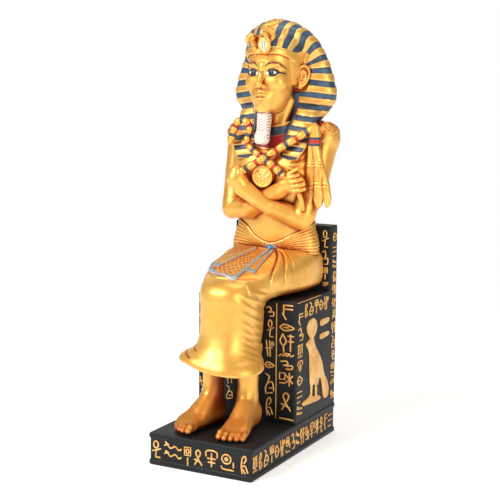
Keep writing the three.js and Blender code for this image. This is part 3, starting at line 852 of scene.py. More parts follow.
def arm_field(items, side):
    g = Group(items)

    def fn(x, y, z):
        d = g(x, y, z)
        zone, rim, pattern = shoulder_relief(side, x, y, z)
        d = d - (0.35 * zone + 0.34 * pattern * zone + 0.34 * rim) * step(150, 170, z)
        return smax(d, 120 - z, 0.3)

    return Shape(fn, g.lo - 0.8, g.hi + 0.8)


arm_left = arm_field(ARM_L, 1)
arm_right = arm_field(ARM_R, -1)


def arm_paint(side):
    def fn(x, y, z, n):
        zone, rim, pattern = shoulder_relief(side, x, y, z)
        red = np.minimum(np.minimum(z - 200.2, 30.4 - np.abs(x)), 3.0)
        # painted shade: a little all over, more on the right arm and on the shoulder cape, most in the grooves of its
        # pattern
        return {"recess": 0.24 + 0.14 * (side < 0) + zone * 0.18 + 0.3 * zone * np.clip(-pattern, 0, 1), "red": red}
    return fn


piece("arm_left", arm_left, 0.6, arm_paint(1))
piece("arm_right", arm_right, 0.6, arm_paint(-1))
hand_right = Group(HAND_R)
hand_mitt = Group(HAND_L)
crease_left = Group(CREASE_L)
hand_left = Shape(lambda x, y, z: smax(hand_mitt(x, y, z), -crease_left(x, y, z), 0.5), hand_mitt.lo, hand_mitt.hi)
piece("hand_right", hand_right, 0.4)
piece("hand_left", hand_left, 0.42)

# ---------------------------------------------------------------- crook and flail
CROOK = [[20.5, 15.4, 164], [16.2, 15.3, 172], [10.6, 15.4, 175], [5.5, 15.8, 178.4], [0.7, 16.2, 181.4],
         [-5.3, 17.4, 185.2], [-10.2, 18.6, 188.4], [-11.4, 19.2, 191.6], [-10.8, 19.6, 194.6],
         [-10.1, 20, 198], [-11.2, 20, 201.7], [-14.7, 20, 203.8], [-18.6, 20, 202.8],
         [-20.7, 20, 199.3], [-22.2, 20.2, 195.8], [-23, 20.4, 192.6], [-24.6, 20.8, 190.4]]
CROOK[0:2] = [[27.6, 19.4, 150.6], [26.8, 18.2, 156.6], [23.8, 17.0, 163.4], [16.2, 15.3, 170.4]]
FLAIL = [[-15.6, 12, 169.8], [-2.7, 15.9, 178.6], [8.7, 19.4, 185.9], [20.5, 23.1, 193.4], [31.2, 26.4, 200.4]]


class Rod:
    """A staff with alternating plain and ringed stretches along its length."""

    def __init__(self, points, radius, first, pitch, ring_half, bulge):
        p = spline(points, 8)
        self.p = p
        seg = np.linalg.norm(np.diff(p, axis=0), axis=1)
        self.s = np.concatenate([[0], np.cumsum(seg)])
        self.length = self.s[-1]
        self.first, self.pitch, self.half, self.bulge, self.r = first, pitch, ring_half, bulge, radius
        self.a = p[:-1].astype(F)
        self.v = np.diff(p, axis=0).astype(F)
        self.inv = (1 / (seg ** 2)).astype(F)
        self.lo, self.hi = p.min(0) - radius - 0.6, p.max(0) + radius + 0.6
        self.clear = 1.0

    def near(self, x, y, z):
        lo = np.array([x.min(), y.min(), z.min()]) - FAR
        hi = np.array([x.max(), y.max(), z.max()]) + FAR
        ends = np.stack([self.p[:-1], self.p[1:]])
        keep = np.nonzero(((ends.min(0) < hi) & (ends.max(0) > lo)).all(1))[0]
        best = np.full(x.shape, F(FAR + self.r))
        s = np.zeros(x.shape, F)
        for i in keep:
            dx, dy, dz = x - self.a[i][0], y - self.a[i][1], z - self.a[i][2]
            v = self.v[i]
            t = np.clip((dx * v[0] + dy * v[1] + dz * v[2]) * self.inv[i], 0, 1)
            dx -= t * v[0]
            dy -= t * v[1]
            dz -= t * v[2]
            d = np.sqrt(dx * dx + dy * dy + dz * dz)
            m = d < best
            best = np.where(m, d, best)
            s = np.where(m, F(self.s[i]) + t * F(self.s[i + 1] - self.s[i]), s)
        return best, s

    def phase(self, s):
        k = (s - self.first) / self.pitch
        n = np.round(k)
        return np.abs(k - n) * self.pitch, n.astype(int)

    def __call__(self, x, y, z):
        d, s = self.near(x, y, z)
        off, _ = self.phase(s)
        # the plain stretches swell a little between the rings
        on = step(self.clear - 1.6, self.clear, s)
        swell = self.bulge * np.cos(np.clip(off / (self.pitch / 2), 0, 1) * math.pi) * on
        groove = 0.28 * np.exp(-((off - self.half) / 0.28) ** 2) * on + 0.75 * (1 - on)
        return d - self.r + swell + groove

    def paint(self, x, y, z, n):
        _, s = self.near(x, y, z)
        off, k = self.phase(s)
        ring = self.half - off
        odd = (k % 2) == 1
        inside = (s > self.clear) & (s < self.length - 1.2)
        return {"blue": np.where(odd | ~inside, -1, ring), "red": np.where(odd & inside, ring, -1)}


crook_len = Rod(CROOK, 2.4, 0, 6, 1, 0)
# the first blue ring lies just clear of the right hand
ring0 = float(crook_len.near(np.array([14.6], F), np.array([15.3], F), np.array([172.4], F))[1][0])
crook = Rod(CROOK, 2.3, ring0 - 12.2, 6.1, 0.95, 0.18)
ring1 = float(Rod(FLAIL, 2.4, 0, 6, 1, 0).near(np.array([-9.0], F), np.array([13.8], F), np.array([174.4], F))[1][0])
flail = Rod(FLAIL, 2.35, ring1, 7.35, 1.0, 0.18)
crook.clear = ring0 - 2.0
piece("crook", crook, 0.4, crook.paint)
piece("flail_staff", flail, 0.42, flail.paint)


def strand(rows, y0=0.0):
    """One thong of the flail, from rows of height, left edge, right edge and half thickness."""
    out = []
    for z_, a_, b_, t_ in rows:
        yc = float(np.interp(z_, [150, 158, 172, 190, 196], [24.3, 24.6, 25.9, 27.2, 27.4])) + y0
        out.append([z_, (a_ + b_) / 2, yc, (b_ - a_) / 2, t_, 3.0 if z_ > 153.5 else 2.2])
    return Loft("z", out, 0.6)


THONGS = [strand([(149.3, 27.9, 29.1, 0.8), (150.4, 27.2, 30.0, 1.2), (152.6, 26.6, 30.9, 1.5), (157.3, 25.9, 32.4, 1.8),
                  (167, 26.6, 32.1, 1.9), (180, 27.2, 31.7, 2.0), (192, 27.6, 30.4, 2.2), (196, 28.2, 30.6, 2.2)]),
          strand([(150.6, 35.1, 36.4, 0.8), (151.6, 34.4, 37.4, 1.2), (153.2, 33.6, 38.4, 1.5), (156.4, 32.5, 38.8, 1.8),
                  (167, 32.0, 38.0, 2.0), (180, 31.6, 36.1, 2.2), (192, 30.3, 33.3, 2.3), (196, 30.4, 33.0, 2.3)], -0.1),
          strand([(151.7, 41.0, 42.2, 0.8), (152.7, 40.3, 43.2, 1.2), (154.6, 39.6, 43.9, 1.5), (157.5, 39.0, 44.0, 1.8),
                  (162.6, 38.5, 43.0, 1.9), (168, 37.8, 41.5, 1.9), (180, 34.4, 36.9, 1.9), (192, 31.8, 34.0, 2.0), (196, 31.8, 33.4, 2.0)], 0.5)]
CAP = Loft("z", [[189.6, 31.6, 27.3, 3.9, 2.9, 2.8], [194.5, 31.4, 27.4, 3.6, 2.9, 2.6],
                 [200.5, 31, 27.2, 3.3, 2.9, 2.2], [202.6, 30.8, 27.0, 2.2, 2.2, 2]], 0.9)
thong_group = Group([(t, 0.5) for t in THONGS])


def band_lines(x, z):
    g = np.zeros(x.shape)
    tilt = 0.05 * (x - 33)
    for zc in (179.6, 177.9, 175.8, 167.1, 164.9, 162.7):
        g = g + np.exp(-((z - zc - tilt) / 0.32) ** 2)
    on = step(180.4, 179.8, z - tilt) * step(174.9, 175.6, z - tilt) + step(168, 167.4, z - tilt) * step(161.8, 162.5, z - tilt)
    return g, on


def strands_fn(x, y, z):
    d = thong_group(x, y, z)
    # bindings across, each of two cords
    g, on = band_lines(x, z)
    d = d - 0.16 * on + 0.26 * g
    # fine lengthwise lines
    d = d - 0.07 * np.sin(x * 3.6) * step(189, 186, z)
    c = CAP(x, y, z)
    c = c + 0.22 * np.exp(-((z - 194.6) / 0.3) ** 2) + 0.22 * np.exp(-((z - 189.4) / 0.3) ** 2)
    return smin(d, c, 0.3)


def strands_paint(x, y, z, n):
    cap = 0.6 - CAP(x, y, z)
    blue = np.minimum(np.maximum(np.minimum(z - 192.9, 194.4 - z), np.minimum(z - 189.2, 190.7 - z)), cap)
    red = np.minimum(np.minimum(z - 190.8, 192.8 - z), cap)
    g, on = band_lines(x, z)
    # painted shade along the binding cords
    return {"blue": blue, "red": red, "recess": 0.5 * g}


strands = Shape(strands_fn, [24.8, 21.4, 148.4], [44, 30.4, 203.2])
piece("flail_thongs", strands, 0.45, strands_paint)

# ---------------------------------------------------------------- pendant
MED = (0.1, 169.7, 7.3)


def pendant_relief(x, z):
    dx, dz = np.abs(x - MED[0]), z - MED[1]
    rr = np.hypot(dx + 0.6, dz + 3.0)
    feathers = np.sin(rr * 4.0) * 0.6 + np.sin(np.arctan2(dz + 3.0, dx + 0.6) * 12) * 0.4
    centre = step(1.5, 0.9, np.hypot(dx, (dz + 0.2) * 0.45))
    return feathers * (1 - centre) + 1.2 * centre


def pendant_fn(x, y, z):
    dx, dz = x - MED[0], z - MED[1]
    r = np.sqrt(dx * dx + dz * dz)
    th = np.arctan2(dz, dx)
    d = smax(r - MED[2], 17.7 - y - 0.27 * pendant_relief(x, z) * step(5.9, 5.3, r), 0.5)
    d = smax(d, y - 27, 0.3)
    rim = np.sqrt((r - 6.6) ** 2 + (y - 17.9) ** 2) - 0.72
    return smin(d, rim - 0.18 * np.cos(th * 26), 0.3)


def pendant_paint(x, y, z, n):
    r = np.hypot(x - MED[0], z - MED[1])
    g = pendant_relief(x, z)
    # painted shade in the grooves of the relief and a painted highlight on its raised parts
    return {"recess": 0.35 * step(0.0, -0.6, g) * step(6.0, 5.4, r), "pale": np.where(r < 5.8, (g - 0.35) * 0.5, -1)}


pendant = Shape(pendant_fn, [-8.2, 16.6, 161.4], [8.4, 27.2, 178])
piece("pendant", pendant, 0.4, pendant_paint)

# ---------------------------------------------------------------- head
head_loft = Loft("z", [
    [208.4, 0, 27.6, 4.6, 6.4, 2], [209.8, 0, 27, 7.4, 9.2, 2], [214, 0, 27, 10.2, 10.8, 2],
    [222, 0, 28.6, 12.7, 13.4, 2.1], [230, 0, 30.4, 14.2, 15.1, 2.2], [239, 0, 32, 14.9, 15.9, 2.2],
    [247, 0, 33.4, 15.4, 17.2, 2.1], [254, 0, 35.4, 14.0, 16.2, 2.1]], 1.5)
neck = Group([NECK,
              (Cone((7.0, 31.4, 203), (10.6, 36, 216), 1.6, 2.2), 2.5),
              (Cone((-7.0, 31.4, 203), (-10.6, 36, 216), 1.6, 2.2), 2.5)] +
             [(c, 0.7) for c in tube([[12.1 * math.sin(math.radians(a_)), 40.0 - 12.1 * math.cos(math.radians(a_)),
                                       200.6 + 3.0 * (1 - math.cos(math.radians(a_))), 0.7] for a_ in range(-75, 76, 15)], steps=2)])

EYE_X, EYE_Z = 6.3, 233.4


def mirrored(fn):
    return [fn(1), fn(-1)]


solids = [head_loft, (neck, 1.6)]
for s in (1, -1):
    solids += [(Ell((8.6 * s, 21.4, 227.2), (4.8, 4.6, 4.6)), 4.0),            # cheek
               (Cone((1.2 * s, 16.4, 238.2), (9.6 * s, 18.6, 238.4), 1.1, 1.0), 2.2)]  # brow ridge
solids += [(Ell((0, 17.9, 219.2), (6.2, 4.2, 5.0)), 3.6),                      # round the mouth
           (Ell((0, 18.2, 212.2), (4.6, 3.8, 3.4)), 3.0),                      # chin
           (Cone((0, 17.2, 238.4), (0, 14.6, 232.5), 1.5, 1.5), 2.0),          # bridge
           (Cone((0, 14.6, 232.5), (0, 12.3, 226.6), 1.45, 1.9), 1.1),
           (Ell((0, 12.4, 225.9), (2.15, 2.2, 2.0)), 0.9)]
for s in (1, -1):
    solids += [(Ell((2.35 * s, 14.2, 225.0), (1.55, 1.9, 1.45)), 0.8)]
face_group = Group(solids)
sockets = Group([Ell((EYE_X * s * 1.02, 13.9, EYE_Z + 0.2), (4.7, 2.9, 3.1)) for s in (1, -1)])
eyeballs = Group([Ell((EYE_X * s, 19.6, EYE_Z), (4.3, 3.5, 3.2)) for s in (1, -1)])
nostrils = Group([Ell((1.25 * s, 13.0, 223.7), (0.75, 1.0, 0.6)) for s in (1, -1)])
lips = Group([c for s in (1, -1) for c in (
    (Cone((0.9 * s, 13.3, 220.1), (4.7 * s, 15.5, 219.0), 1.05, 0.42), 0.6),
    (Cone((0.0, 13.5, 217.5), (3.9 * s, 15.4, 218.5), 1.3, 0.5), 0.5))])
mouth_line = Group([Cone((0, 12.5, 218.85), (4.9 * s, 15.2, 218.75), 0.28, 0.22) for s in (1, -1)])
philtrum = Ell((0, 12.9, 222.0), (0.7, 0.8, 1.3))


def lid_paths(s):
    up, low = [], []
    for i in range(9):
        t = -1 + i / 4
        x = EYE_X + 4.1 * t
        zu = EYE_Z - 0.15 + 2.2 * (1 - t * t) ** 0.75 + 0.25 * t
        zl = EYE_Z - 0.15 - 1.55 * (1 - t * t) ** 0.85 + 0.25 * t
        up.append((x, zu))
        low.append((x, zl))
    return up, low


def eye_front(x, z):
    """y of the eyeball's surface, or of the cheek beside it."""
    u = 1 - ((x - EYE_X) / 4.3) ** 2 - ((z - EYE_Z) / 3.2) ** 2
    return 19.6 - 3.5 * math.sqrt(max(u, 0.0))


def lids(s):
    up, low = lid_paths(s)
    cones = []
    for path, r in ((up, 0.46), (low, 0.34)):
        pts = [[x * s, min(eye_front(x, z) - 0.05, 17.5 + 0.20 * max(x - 8, 0)), z, r] for x, z in path]
        cones += tube(pts, steps=2)
    return cones


lid_group = Group(lids(1) + lids(-1))
tail_group = Group([c for s in (1, -1) for c in tube(
    [[9.9 * s, 18.1, 233.7, 0.36], [11.8 * s, 20.2, 233.4, 0.34], [13.4 * s, 23.2, 232.8, 0.2]], steps=3)])
brow_group = Group([c for s in (1, -1) for c in tube(
    [[2.6 * s, 15.7, 237.7, 0.36], [5.4 * s, 16.0, 239.5, 0.42], [8.6 * s, 17.3, 239.5, 0.42],
     [11.6 * s, 20.2, 238.0, 0.36], [13.3 * s, 23.4, 235.9, 0.22]], steps=3)])


def ear_axes(s):
    return unit([0.777 * s, -0.63, 0.0]), unit([0.63 * s, 0.777, 0.0]), np.array([0.0, 0.0, 1.0])


def ear_items(s):
    n, u, w = ear_axes(s)
    c = np.array([17.4 * s, 37.3, 230.9])

    def at(a, b, g):
        return c + a * n + b * u + g * w

    items = [(Ell(at(-0.2, 0.5, 2.2), (1.1, 3.9, 4.9), (n, u, w)), 0.5),
             (Ell(at(-0.1, -0.6, -2.6), (1.1, 2.8, 3.6), (n, u, w)), 1.5),
             (Ell(at(0.1, -1.5, -5.4), (1.35, 1.9, 2.0), (n, u, w)), 1.2),
             (Ell(at(-1.9, -2.2, 0.4), (1.8, 2.0, 5.0), (n, u, w)), 1.2)]
    rim = [at(0.3, -3.3, 1.2), at(0.9, -3.2, 4.2), at(1.1, -1.7, 6.4), at(1.1, 0.7, 7.1), at(1.1, 3.0, 6.0), at(1.1, 4.1, 3.4),
           at(1.0, 3.9, 0.6), at(0.9, 2.8, -1.9), at(0.8, 1.3, -3.9), at(0.7, 0.0, -5.2)]
    items += [(k, 0.4) for k in tube([list(v) + [0.85] for v in rim], steps=3)]
    inner = [at(0.7, -0.6, 4.6), at(0.9, 1.3, 3.4), at(0.95, 2.1, 1.2), at(0.9, 1.5, -1.0), at(0.7, 0.1, -2.7)]
    items += [(k, 0.4) for k in tube([list(v) + [0.55] for v in inner], steps=3)]
    items += [(Ell(at(0.8, -2.7, -0.8), (0.9, 0.8, 1.3), (n, u, w)), 0.6)]
    return items


def ear_hollow(s):
    n, u, w = ear_axes(s)
    c = np.array([17.4 * s, 37.3, 230.9])
    return Ell(c + 1.5 * n - 0.7 * u + 0.4 * w, (1.5, 1.7, 3.2), (n, u, w))


ears = Group(ear_items(1) + ear_items(-1))
ear_hollows = Group([ear_hollow(1), ear_hollow(-1)])


def head_fn(x, y, z):
    d = face_group(x, y, z)
    near_face = y.min() < 26 and z.max() > 208 and z.min() < 242
    if near_face:
        d = smax(d, -sockets(x, y, z), 1.7)
        d = smin(d, eyeballs(x, y, z), 0.3)
        d = smax(d, -nostrils(x, y, z), 0.5)
        d = smax(d, -philtrum(x, y, z), 0.9)
        d = smin(d, lips(x, y, z), 0.7)
        d = smax(d, -mouth_line(x, y, z), 0.35)
        d = smin(d, lid_group(x, y, z), 0.22)
        d = smin(d, tail_group(x, y, z), 0.5)
        d = smin(d, brow_group(x, y, z), 0.45)
    if x.max() > 10 or x.min() < -10:
        e = smax(ears(x, y, z), -ear_hollows(x, y, z), 0.5)
        d = smin(d, e, 0.8)
    return smax(d, 193.5 - z, 0.3)


def head_paint(x, y, z, n):
    ax = np.abs(x)
    u = (ax - EYE_X) / 4.1
    zu = EYE_Z - 0.15 + 2.2 * np.clip(1 - u * u, 0, 1) ** 0.75 + 0.25 * u
    zl = EYE_Z - 0.15 - 1.55 * np.clip(1 - u * u, 0, 1) ** 0.85 + 0.25 * u
    almond = np.minimum(np.minimum(zu - z, z - zl), (1 - np.abs(u)) * 4.1)
    front = 24 - y
    white = np.minimum(almond - 0.05, front)
    iris = 1.85 - np.hypot(ax - (EYE_X - 0.15), (z - (EYE_Z + 0.25)) * 0.97)
    dark = np.minimum(np.minimum(iris, almond + 0.2), front)
    line = 0.30 - lid_group(x, y, z)
    tail = 0.22 - tail_group(x, y, z)
    brow = 0.22 - brow_group(x, y, z)
    dark = np.maximum.reduce([dark, np.minimum(line, front), np.minimum(tail, front + 2)])
    # painted shade towards the back of the head and under the chin
    shade = 0.10 + 0.14 * step(26, 34, y) + 0.12 * step(212, 206, z)
    return {"white": white, "dark": dark, "brown": np.minimum(brow, front + 2), "recess": shade}


head = Shape(head_fn, [-20.5, 9.6, 193.5], [20.5, 52.5, 254])
piece("head", head, 0.4, head_paint)

# ---------------------------------------------------------------- headcloth
cloth = Loft("z", [
    [201, 0, 45.4, 24, 6, 2.6], [207, 0, 48, 28, 7.6, 2.7], [213, 0, 49.8, 32.2, 8.8, 2.8],
    [220, 0, 49.2, 35, 9.8, 2.8], [231, 0, 49.2, 32.8, 9.8, 2.6], [241, 0, 49.2, 29.4, 9.8, 2.4],
    [248, 0, 46.8, 26.6, 12, 2.2], [254, 0, 43.4, 23.8, 14.6, 2.1], [259, 0, 40.6, 19.6, 15.6, 2],
    [263.4, 0, 39.6, 12.8, 11.4, 2], [265.8, 0, 39.3, 7, 6.4, 2], [266.6, 0, 39.2, 2, 2, 2]], 0.8)
dome = Loft("z", [
    [226, 0, 36.5, 15.4, 15.2, 2], [238, 0, 36.6, 17.2, 17.6, 2.1], [246, 0, 36.8, 17.4, 18.8, 2.1],
    [252, 0, 37.2, 16.8, 18.8, 2.1], [258, 0, 38.2, 14.8, 16.2, 2], [263, 0, 39.2, 9.4, 10.2, 2],
    [265.4, 0, 39.4, 4.6, 5.4, 2]], 1.0)
inner_wing = Loft("z", [
    [203, 0, 43.2, 18, 6.6, 2], [207, 0, 43.6, 21, 8, 2], [213, 0, 43.4, 23, 8.4, 2], [218, 0, 43.6, 24, 8.4, 2],
    [222, 0, 45.0, 24.5, 8.5, 2], [227, 0, 49.5, 24, 8.6, 2], [232, 0, 50.5, 22, 8, 2]], 1.0)
lappets = [Loft("z", [
    [179.2, 16.2 * s, 26.2, 7.0, 2.3, 3.4], [180.4, 16.3 * s, 26.5, 7.9, 2.7, 3.4], [183, 16.5 * s, 27.2, 8.5, 3.1, 3.4],
    [192, 18 * s, 31, 9, 4.4, 3.2], [203, 18.4 * s, 37.6, 8.4, 6.2, 2.6], [213, 18.6 * s, 44.2, 7.6, 7.4, 2.2]], 0.9)
    for s in (1, -1)]
tail = Group([Cone((0, 54.6, 205), (0, 55.6, 196), 5.0, 3.4), (Cone((0, 55.6, 196), (0, 56.4, 168), 3.2, 2.5), 1.5)])
nemes_group = Group([cloth, (dome, 2.5), (inner_wing, 3.0), (lappets[0], 3.0), (lappets[1], 3.0), (tail, 1.5)])

STRIPE_Z = np.array([168, 174.4, 180.8, 187.1, 193.3, 199.4, 205.5, 212.5, 219.7, 227.4, 235.4])
STRIPE_ZN = np.array([16, 15, 14, 13, 12, 11, 10, 9, 8, 7, 6.0])
BACK_ANGLE = np.array([-90, 0, 12, 23.4, 31.8, 41.6, 50, 56.9, 63.4, 69.4, 76.9, 83.8, 90])
BACK_N = np.array([13, 11, 10, 9, 8, 7, 6, 5, 4, 3, 2, 1, 0.0])
# centre lines of the blue stripes over the top: a point (|x|, z) and the angle of the line
STRIPE_LINES = [(0.0, 250, 90), (7.0, 250, 89.5), (12.6, 249, 83), (16.4, 246.6, 72), (17.2, 243.2, 46.5),
                (20.0, 239.1, 29.5), (22.0, 235.4, 0)]


def stripe_phase(x, y, z):
    """Counts the stripes outwards and down, and gives the local distance between two of them."""
    ax = np.abs(x)
    dist = []
    for px, pz, a in STRIPE_LINES:
        a = math.radians(a)
        dist.append((ax - px) * math.sin(a) - (z - pz) * math.cos(a))
    over = np.zeros(x.shape)
    pitch_o = np.zeros(x.shape)
    for k in range(6):
        w = np.maximum(dist[k] - dist[k + 1], 3.0)
        over += np.clip(dist[k] / w, 0, 1)
        pitch_o = np.where((dist[k] > 0), w, pitch_o)
    ref = np.interp(z, [200, 216], [17.0, 27.0])
    zt = z + 0.12 * (ax - ref) * step(235, 229, z)
    below = np.interp(zt, STRIPE_Z, STRIPE_ZN)
    front = np.where(z < 235.4, below, over)
    pitch = np.where(z < 235.4, np.interp(z, [180, 200, 215, 236], [6.3, 6.2, 7.2, 7.7]), np.clip(pitch_o, 5.0, 9.5))
    theta_b = np.degrees(np.arctan2(z - 199, ax))
    back = np.interp(theta_b, BACK_ANGLE, BACK_N)
    reach = np.hypot(ax, z - 199) * 0.122
    w = step(49, 55, y + np.clip(z - 244, 0, 30) * 0.55)
    return front * (1 - w) + back * w, pitch * (1 - w) + np.clip(reach, 2.5, 8) * w


INNER_Z = np.array([179, 187, 194.5, 201.4, 210.7, 220.6, 226])
INNER_X = np.array([9.4, 9.4, 10.2, 12.0, 13.8, 14.4, 14.4])


def nemes_zones(x, y, z):
    ax = np.abs(x)
    # positive inside a blue stripe, in mm
    phi, pitch = stripe_phase(x, y, z)
    f = phi - np.round(phi)
    share = np.where(np.round(phi) <= 3, 0.245, 0.225)
    blue = (share - np.abs(f)) * pitch
    # a plain gold stripe runs over the middle
    blue = np.where(np.abs(np.round(phi)) < 0.5, -np.abs(phi) * 7.0 - 0.5, blue)
    inner = np.interp(z, INNER_Z, INNER_X)
    border = np.minimum(np.minimum(inner + 1.1 - ax, 222.0 - z), 44 - y)
    low_edge = z - 180.1
    return blue, border, low_edge, phi, f


def band_edges(y):
    """Lower and upper edge of the gold band round the brow; it drops towards the ears."""
    back_ = np.log1p(np.exp(np.clip((y - 18.2) * 1.2, -20, 20))) / 1.2
    return 244.9 - 0.42 * back_, 249.5 - 0.375 * back_


def nemes_fn(x, y, z):
    d = nemes_group(x, y, z)
    blue, border, low_edge, phi, f = nemes_zones(x, y, z)
    on_tail = (tail(x, y, z) < 1.2) & (z < 199)
    # gold folds stand proud of the blue ones, with a fine groove between them
    lift = 0.42 * step(0.35, -0.55, blue) - 0.20 * np.exp(-(blue / 0.32) ** 2)
    lift = np.where(border > -0.6, 0.30 * step(-0.6, 0.2, border) - 0.18 * np.exp(-(border / 0.3) ** 2), lift)
    lift = np.where(on_tail, 0.35 * np.cos(z * 1.35), lift)
    over = head_loft(x, y, z)
    bottom, top = band_edges(y)
    near_band = step(-0.8, 0.4, np.minimum(np.minimum(z - bottom + 1.5, top + 0.4 - z), np.minimum(3.5 - over, 41.5 - y)))
    plain = step(221, 224, z) * step(246, 243, z) * step(41.5, 39.5, y) * step(20.5, 19.0, np.abs(x))
    d = d - lift * (1 - near_band) * (1 - plain)
    # band round the brow
    band = smax(over - 1.35 + 0.25 * np.exp(-((z - top + 0.9) / 0.35) ** 2), np.maximum(bottom - z, z - top), 0.6)
    cover = smax(over - 0.8, top - 0.6 - z, 0.5)
    cover = smax(cover, z - 254.5, 1.5)
    d = smin(d, smax(cover, y - 40, 0.5), 1.5)
    d = smin(d, smax(band, y - 40.5, 0.5), 0.3)
    # the cloth stays off the face and ends level at the bottom
    if z.min() < 192:
        ax = np.abs(x)
        d = smax(d, 178.9 - z, 0.4)
        d = smax(d, np.where((z < 196) & (y < 42), ((ax - 20.6) * 1.6 - (z - 179.2)) * 0.53, -9), 0.5)
        d = smax(d, np.where((z < 196) & (y < 42), ((13.5 - ax) * 0.6 - (z - 179.2)) * 0.86, -9), 0.5)
    opening = np.maximum(over + 1.2, z - bottom - 0.8)
    d = smax(d, -opening, 0.3)
    return d


def nemes_paint(x, y, z, n):
    blue, border, low_edge, phi, f = nemes_zones(x, y, z)
    ax = np.abs(x)
    over = head_loft(x, y, z)
    bottom, top = band_edges(y)
    # the band round the brow stays gold
    on_band = np.minimum(np.minimum(np.minimum(z - bottom + 1.0, top + 0.1 - z), 2.4 - over), 40.5 - y)
    cap = np.minimum(blue, -on_band - 0.1)
    rim = np.minimum(np.minimum(z - 180.3, ((z - 179.2) - (ax - 20.6) * 1.6) * 0.53 - 0.7), ((z - 179.2) - (13.5 - ax) * 0.6) * 0.86 - 0.9)
    side = np.where((z < 200) & (y < 40), np.minimum(24.6 - ax + (z - 181) * 0.11, 9), 9)
    cap = np.where(z < 200, np.minimum(np.minimum(cap, rim), side), cap)
    on_tail = (tail(x, y, z) < 1.2) & (z < 199)
    cap = np.where(on_tail, 0.5 * np.cos(z * 1.35 + math.pi) - 0.15, cap)
    # nothing blue on the rims of cloth beside the face
    hide = np.where((z > 222) & (z < 246) & (y < 40.5) & (ax < 20), -1.0, 9)
    out = np.maximum(np.minimum(cap, hide), np.where(on_tail, -1, border * 1.0))
    # pale is a painted highlight along the gold edge beside each blue stripe
    return {"blue": out, "pale": np.minimum(np.minimum(0.42 - np.abs(blue + 0.55), hide), -on_band)}


nemes = Shape(nemes_fn, [-36, 14.8, 178.4], [36, 60.6, 268.8])
piece("headcloth", nemes, 0.6, nemes_paint)

# ---------------------------------------------------------------- brow emblems
cobra = Group([
    (Loft("z", [[244.6, 2.6, 15.6, 1.6, 1.4, 2], [246.2, 2.7, 14.6, 2.9, 1.5, 2.0], [249.6, 2.8, 13.2, 4.4, 1.4, 2.0],
                [253.0, 2.9, 12.4, 4.0, 1.5, 2.3], [256.0, 3.0, 12.2, 2.5, 1.8, 2.1], [257.2, 3.0, 12.2, 1.9, 1.8, 2]], 0.8), 0),
    (Ell((3.0, 11.6, 257.6), (2.2, 3.2, 1.7)), 0.8),
    (Cone((2.9, 13.8, 252), (1.5, 17.5, 251.0), 2.4, 2.6), 1.0)] +
    [(c, 0.7) for c in tube([[1.2, 18.6, 250.6, 2.0], [4.6, 20.4, 256.2, 2.2], [-3.4, 24.5, 260.6, 2.1],
                             [3.4, 29.0, 263.4, 2.0], [-1.2, 34.5, 265.6, 1.5]], steps=5)])
bird = Group([
    (Cone((-4.6, 21.5, 252.2), (-4.9, 14.6, 253.6), 3.5, 3.1), 0),
    (Ell((-5.0, 11.0, 254.5), (2.7, 3.5, 2.8)), 1.2),
    (Cone((-5.0, 8.6, 254.4), (-5.0, 5.6, 253.4), 1.7, 1.1), 0.9),
    (Cone((-5.0, 5.7, 253.3), (-5.0, 5.1, 251.6), 1.0, 0.5), 0.5),
    (Cone((-4.8, 17, 249.0), (-4.8, 18, 245.4), 2.5, 1.9), 1.5)])


def emblem_fn(x, y, z):
    a = cobra(x, y, z)
    # hood: a rim with an inlaid oval and its ribs
    u = ((np.abs(x - 2.85) / 2.9) ** 1.5 + (np.abs(z - 250.0) / 4.2) ** 1.5) ** (1 / 1.5)
    a = a + 0.42 * step(1.05, 0.85, u) * step(16, 14, y) - 0.25 * np.exp(-((u - 1.1) / 0.13) ** 2) * step(16, 14, y)
    b = bird(x, y, z)
    eye = np.minimum(np.hypot(y - 10.0, z - 255.2), 9)
    b = b - 0.28 * np.exp(-((eye - 0.95) / 0.28) ** 2) + 0.25 * step(0.7, 0.3, eye)
    feather = np.sin((z - 0.5 * y) * 3.2) * np.sin(x * 2.6 + 1.0)
    b = b - 0.14 * feather * step(13, 15, y)
    a = a - 0.13 * np.sin((x + y + z) * 2.7) * step(16, 19, y)
    return smin(a, b, 0.6)


def emblem_paint(x, y, z, n):
    u = ((np.abs(x - 2.85) / 2.9) ** 1.5 + (np.abs(z - 250.0) / 4.2) ** 1.5) ** (1 / 1.5)
    front = 15.5 - y
    bar = np.abs(x - 2.85)
    inlay = np.minimum((0.98 - u) * 2.6, front)
    lines = np.minimum(np.minimum(0.32 - np.abs(bar - 0.85), (0.8 - u) * 3), front)
    eye = np.hypot(y - 10.0, z - 255.2)
    dots = np.maximum(0.62 - eye, np.minimum(0.42 - np.hypot(np.abs(x - 3.0) - 1.3, z - 257.9), 12.5 - y))
    return {"pale_inlay": inlay, "teal": lines, "dark": np.minimum(dots, 9)}


emblem = Shape(emblem_fn, [-8.8, 4.0, 243], [7.8, 37, 268])
piece("brow_emblems", emblem, 0.34, emblem_paint)

# ---------------------------------------------------------------- beard
beard_base = Loft("z", [
    [189.3, 0, 17.0, 2.8, 2.3, 2.2], [190.2, 0, 16.9, 4.0, 3.3, 2.3], [192.0, 0, 17.0, 4.7, 4.0, 2.3],
    [194.8, 0, 17.3, 4.7, 4.1, 2.4], [197.0, 0, 18.2, 4.3, 3.6, 2.6], [198.8, 0, 18.9, 4.15, 3.3, 2.7],
    [209.0, 0, 19.6, 4.2, 3.5, 2.7], [209.8, 0, 19.9, 4.6, 4.0, 2.7], [212.4, 0, 20.6, 4.8, 4.5, 2.6],
    [213.6, 0, 21.4, 4.4, 4.4, 2.4]], 0.7)


def beard_plait(x, z):
    """Height of the herringbone plait."""
    ax = np.abs(x)
    v = (z - ax * 0.55) / 1.75
    g = np.abs(v - np.round(v)) * 2
    return g, ax


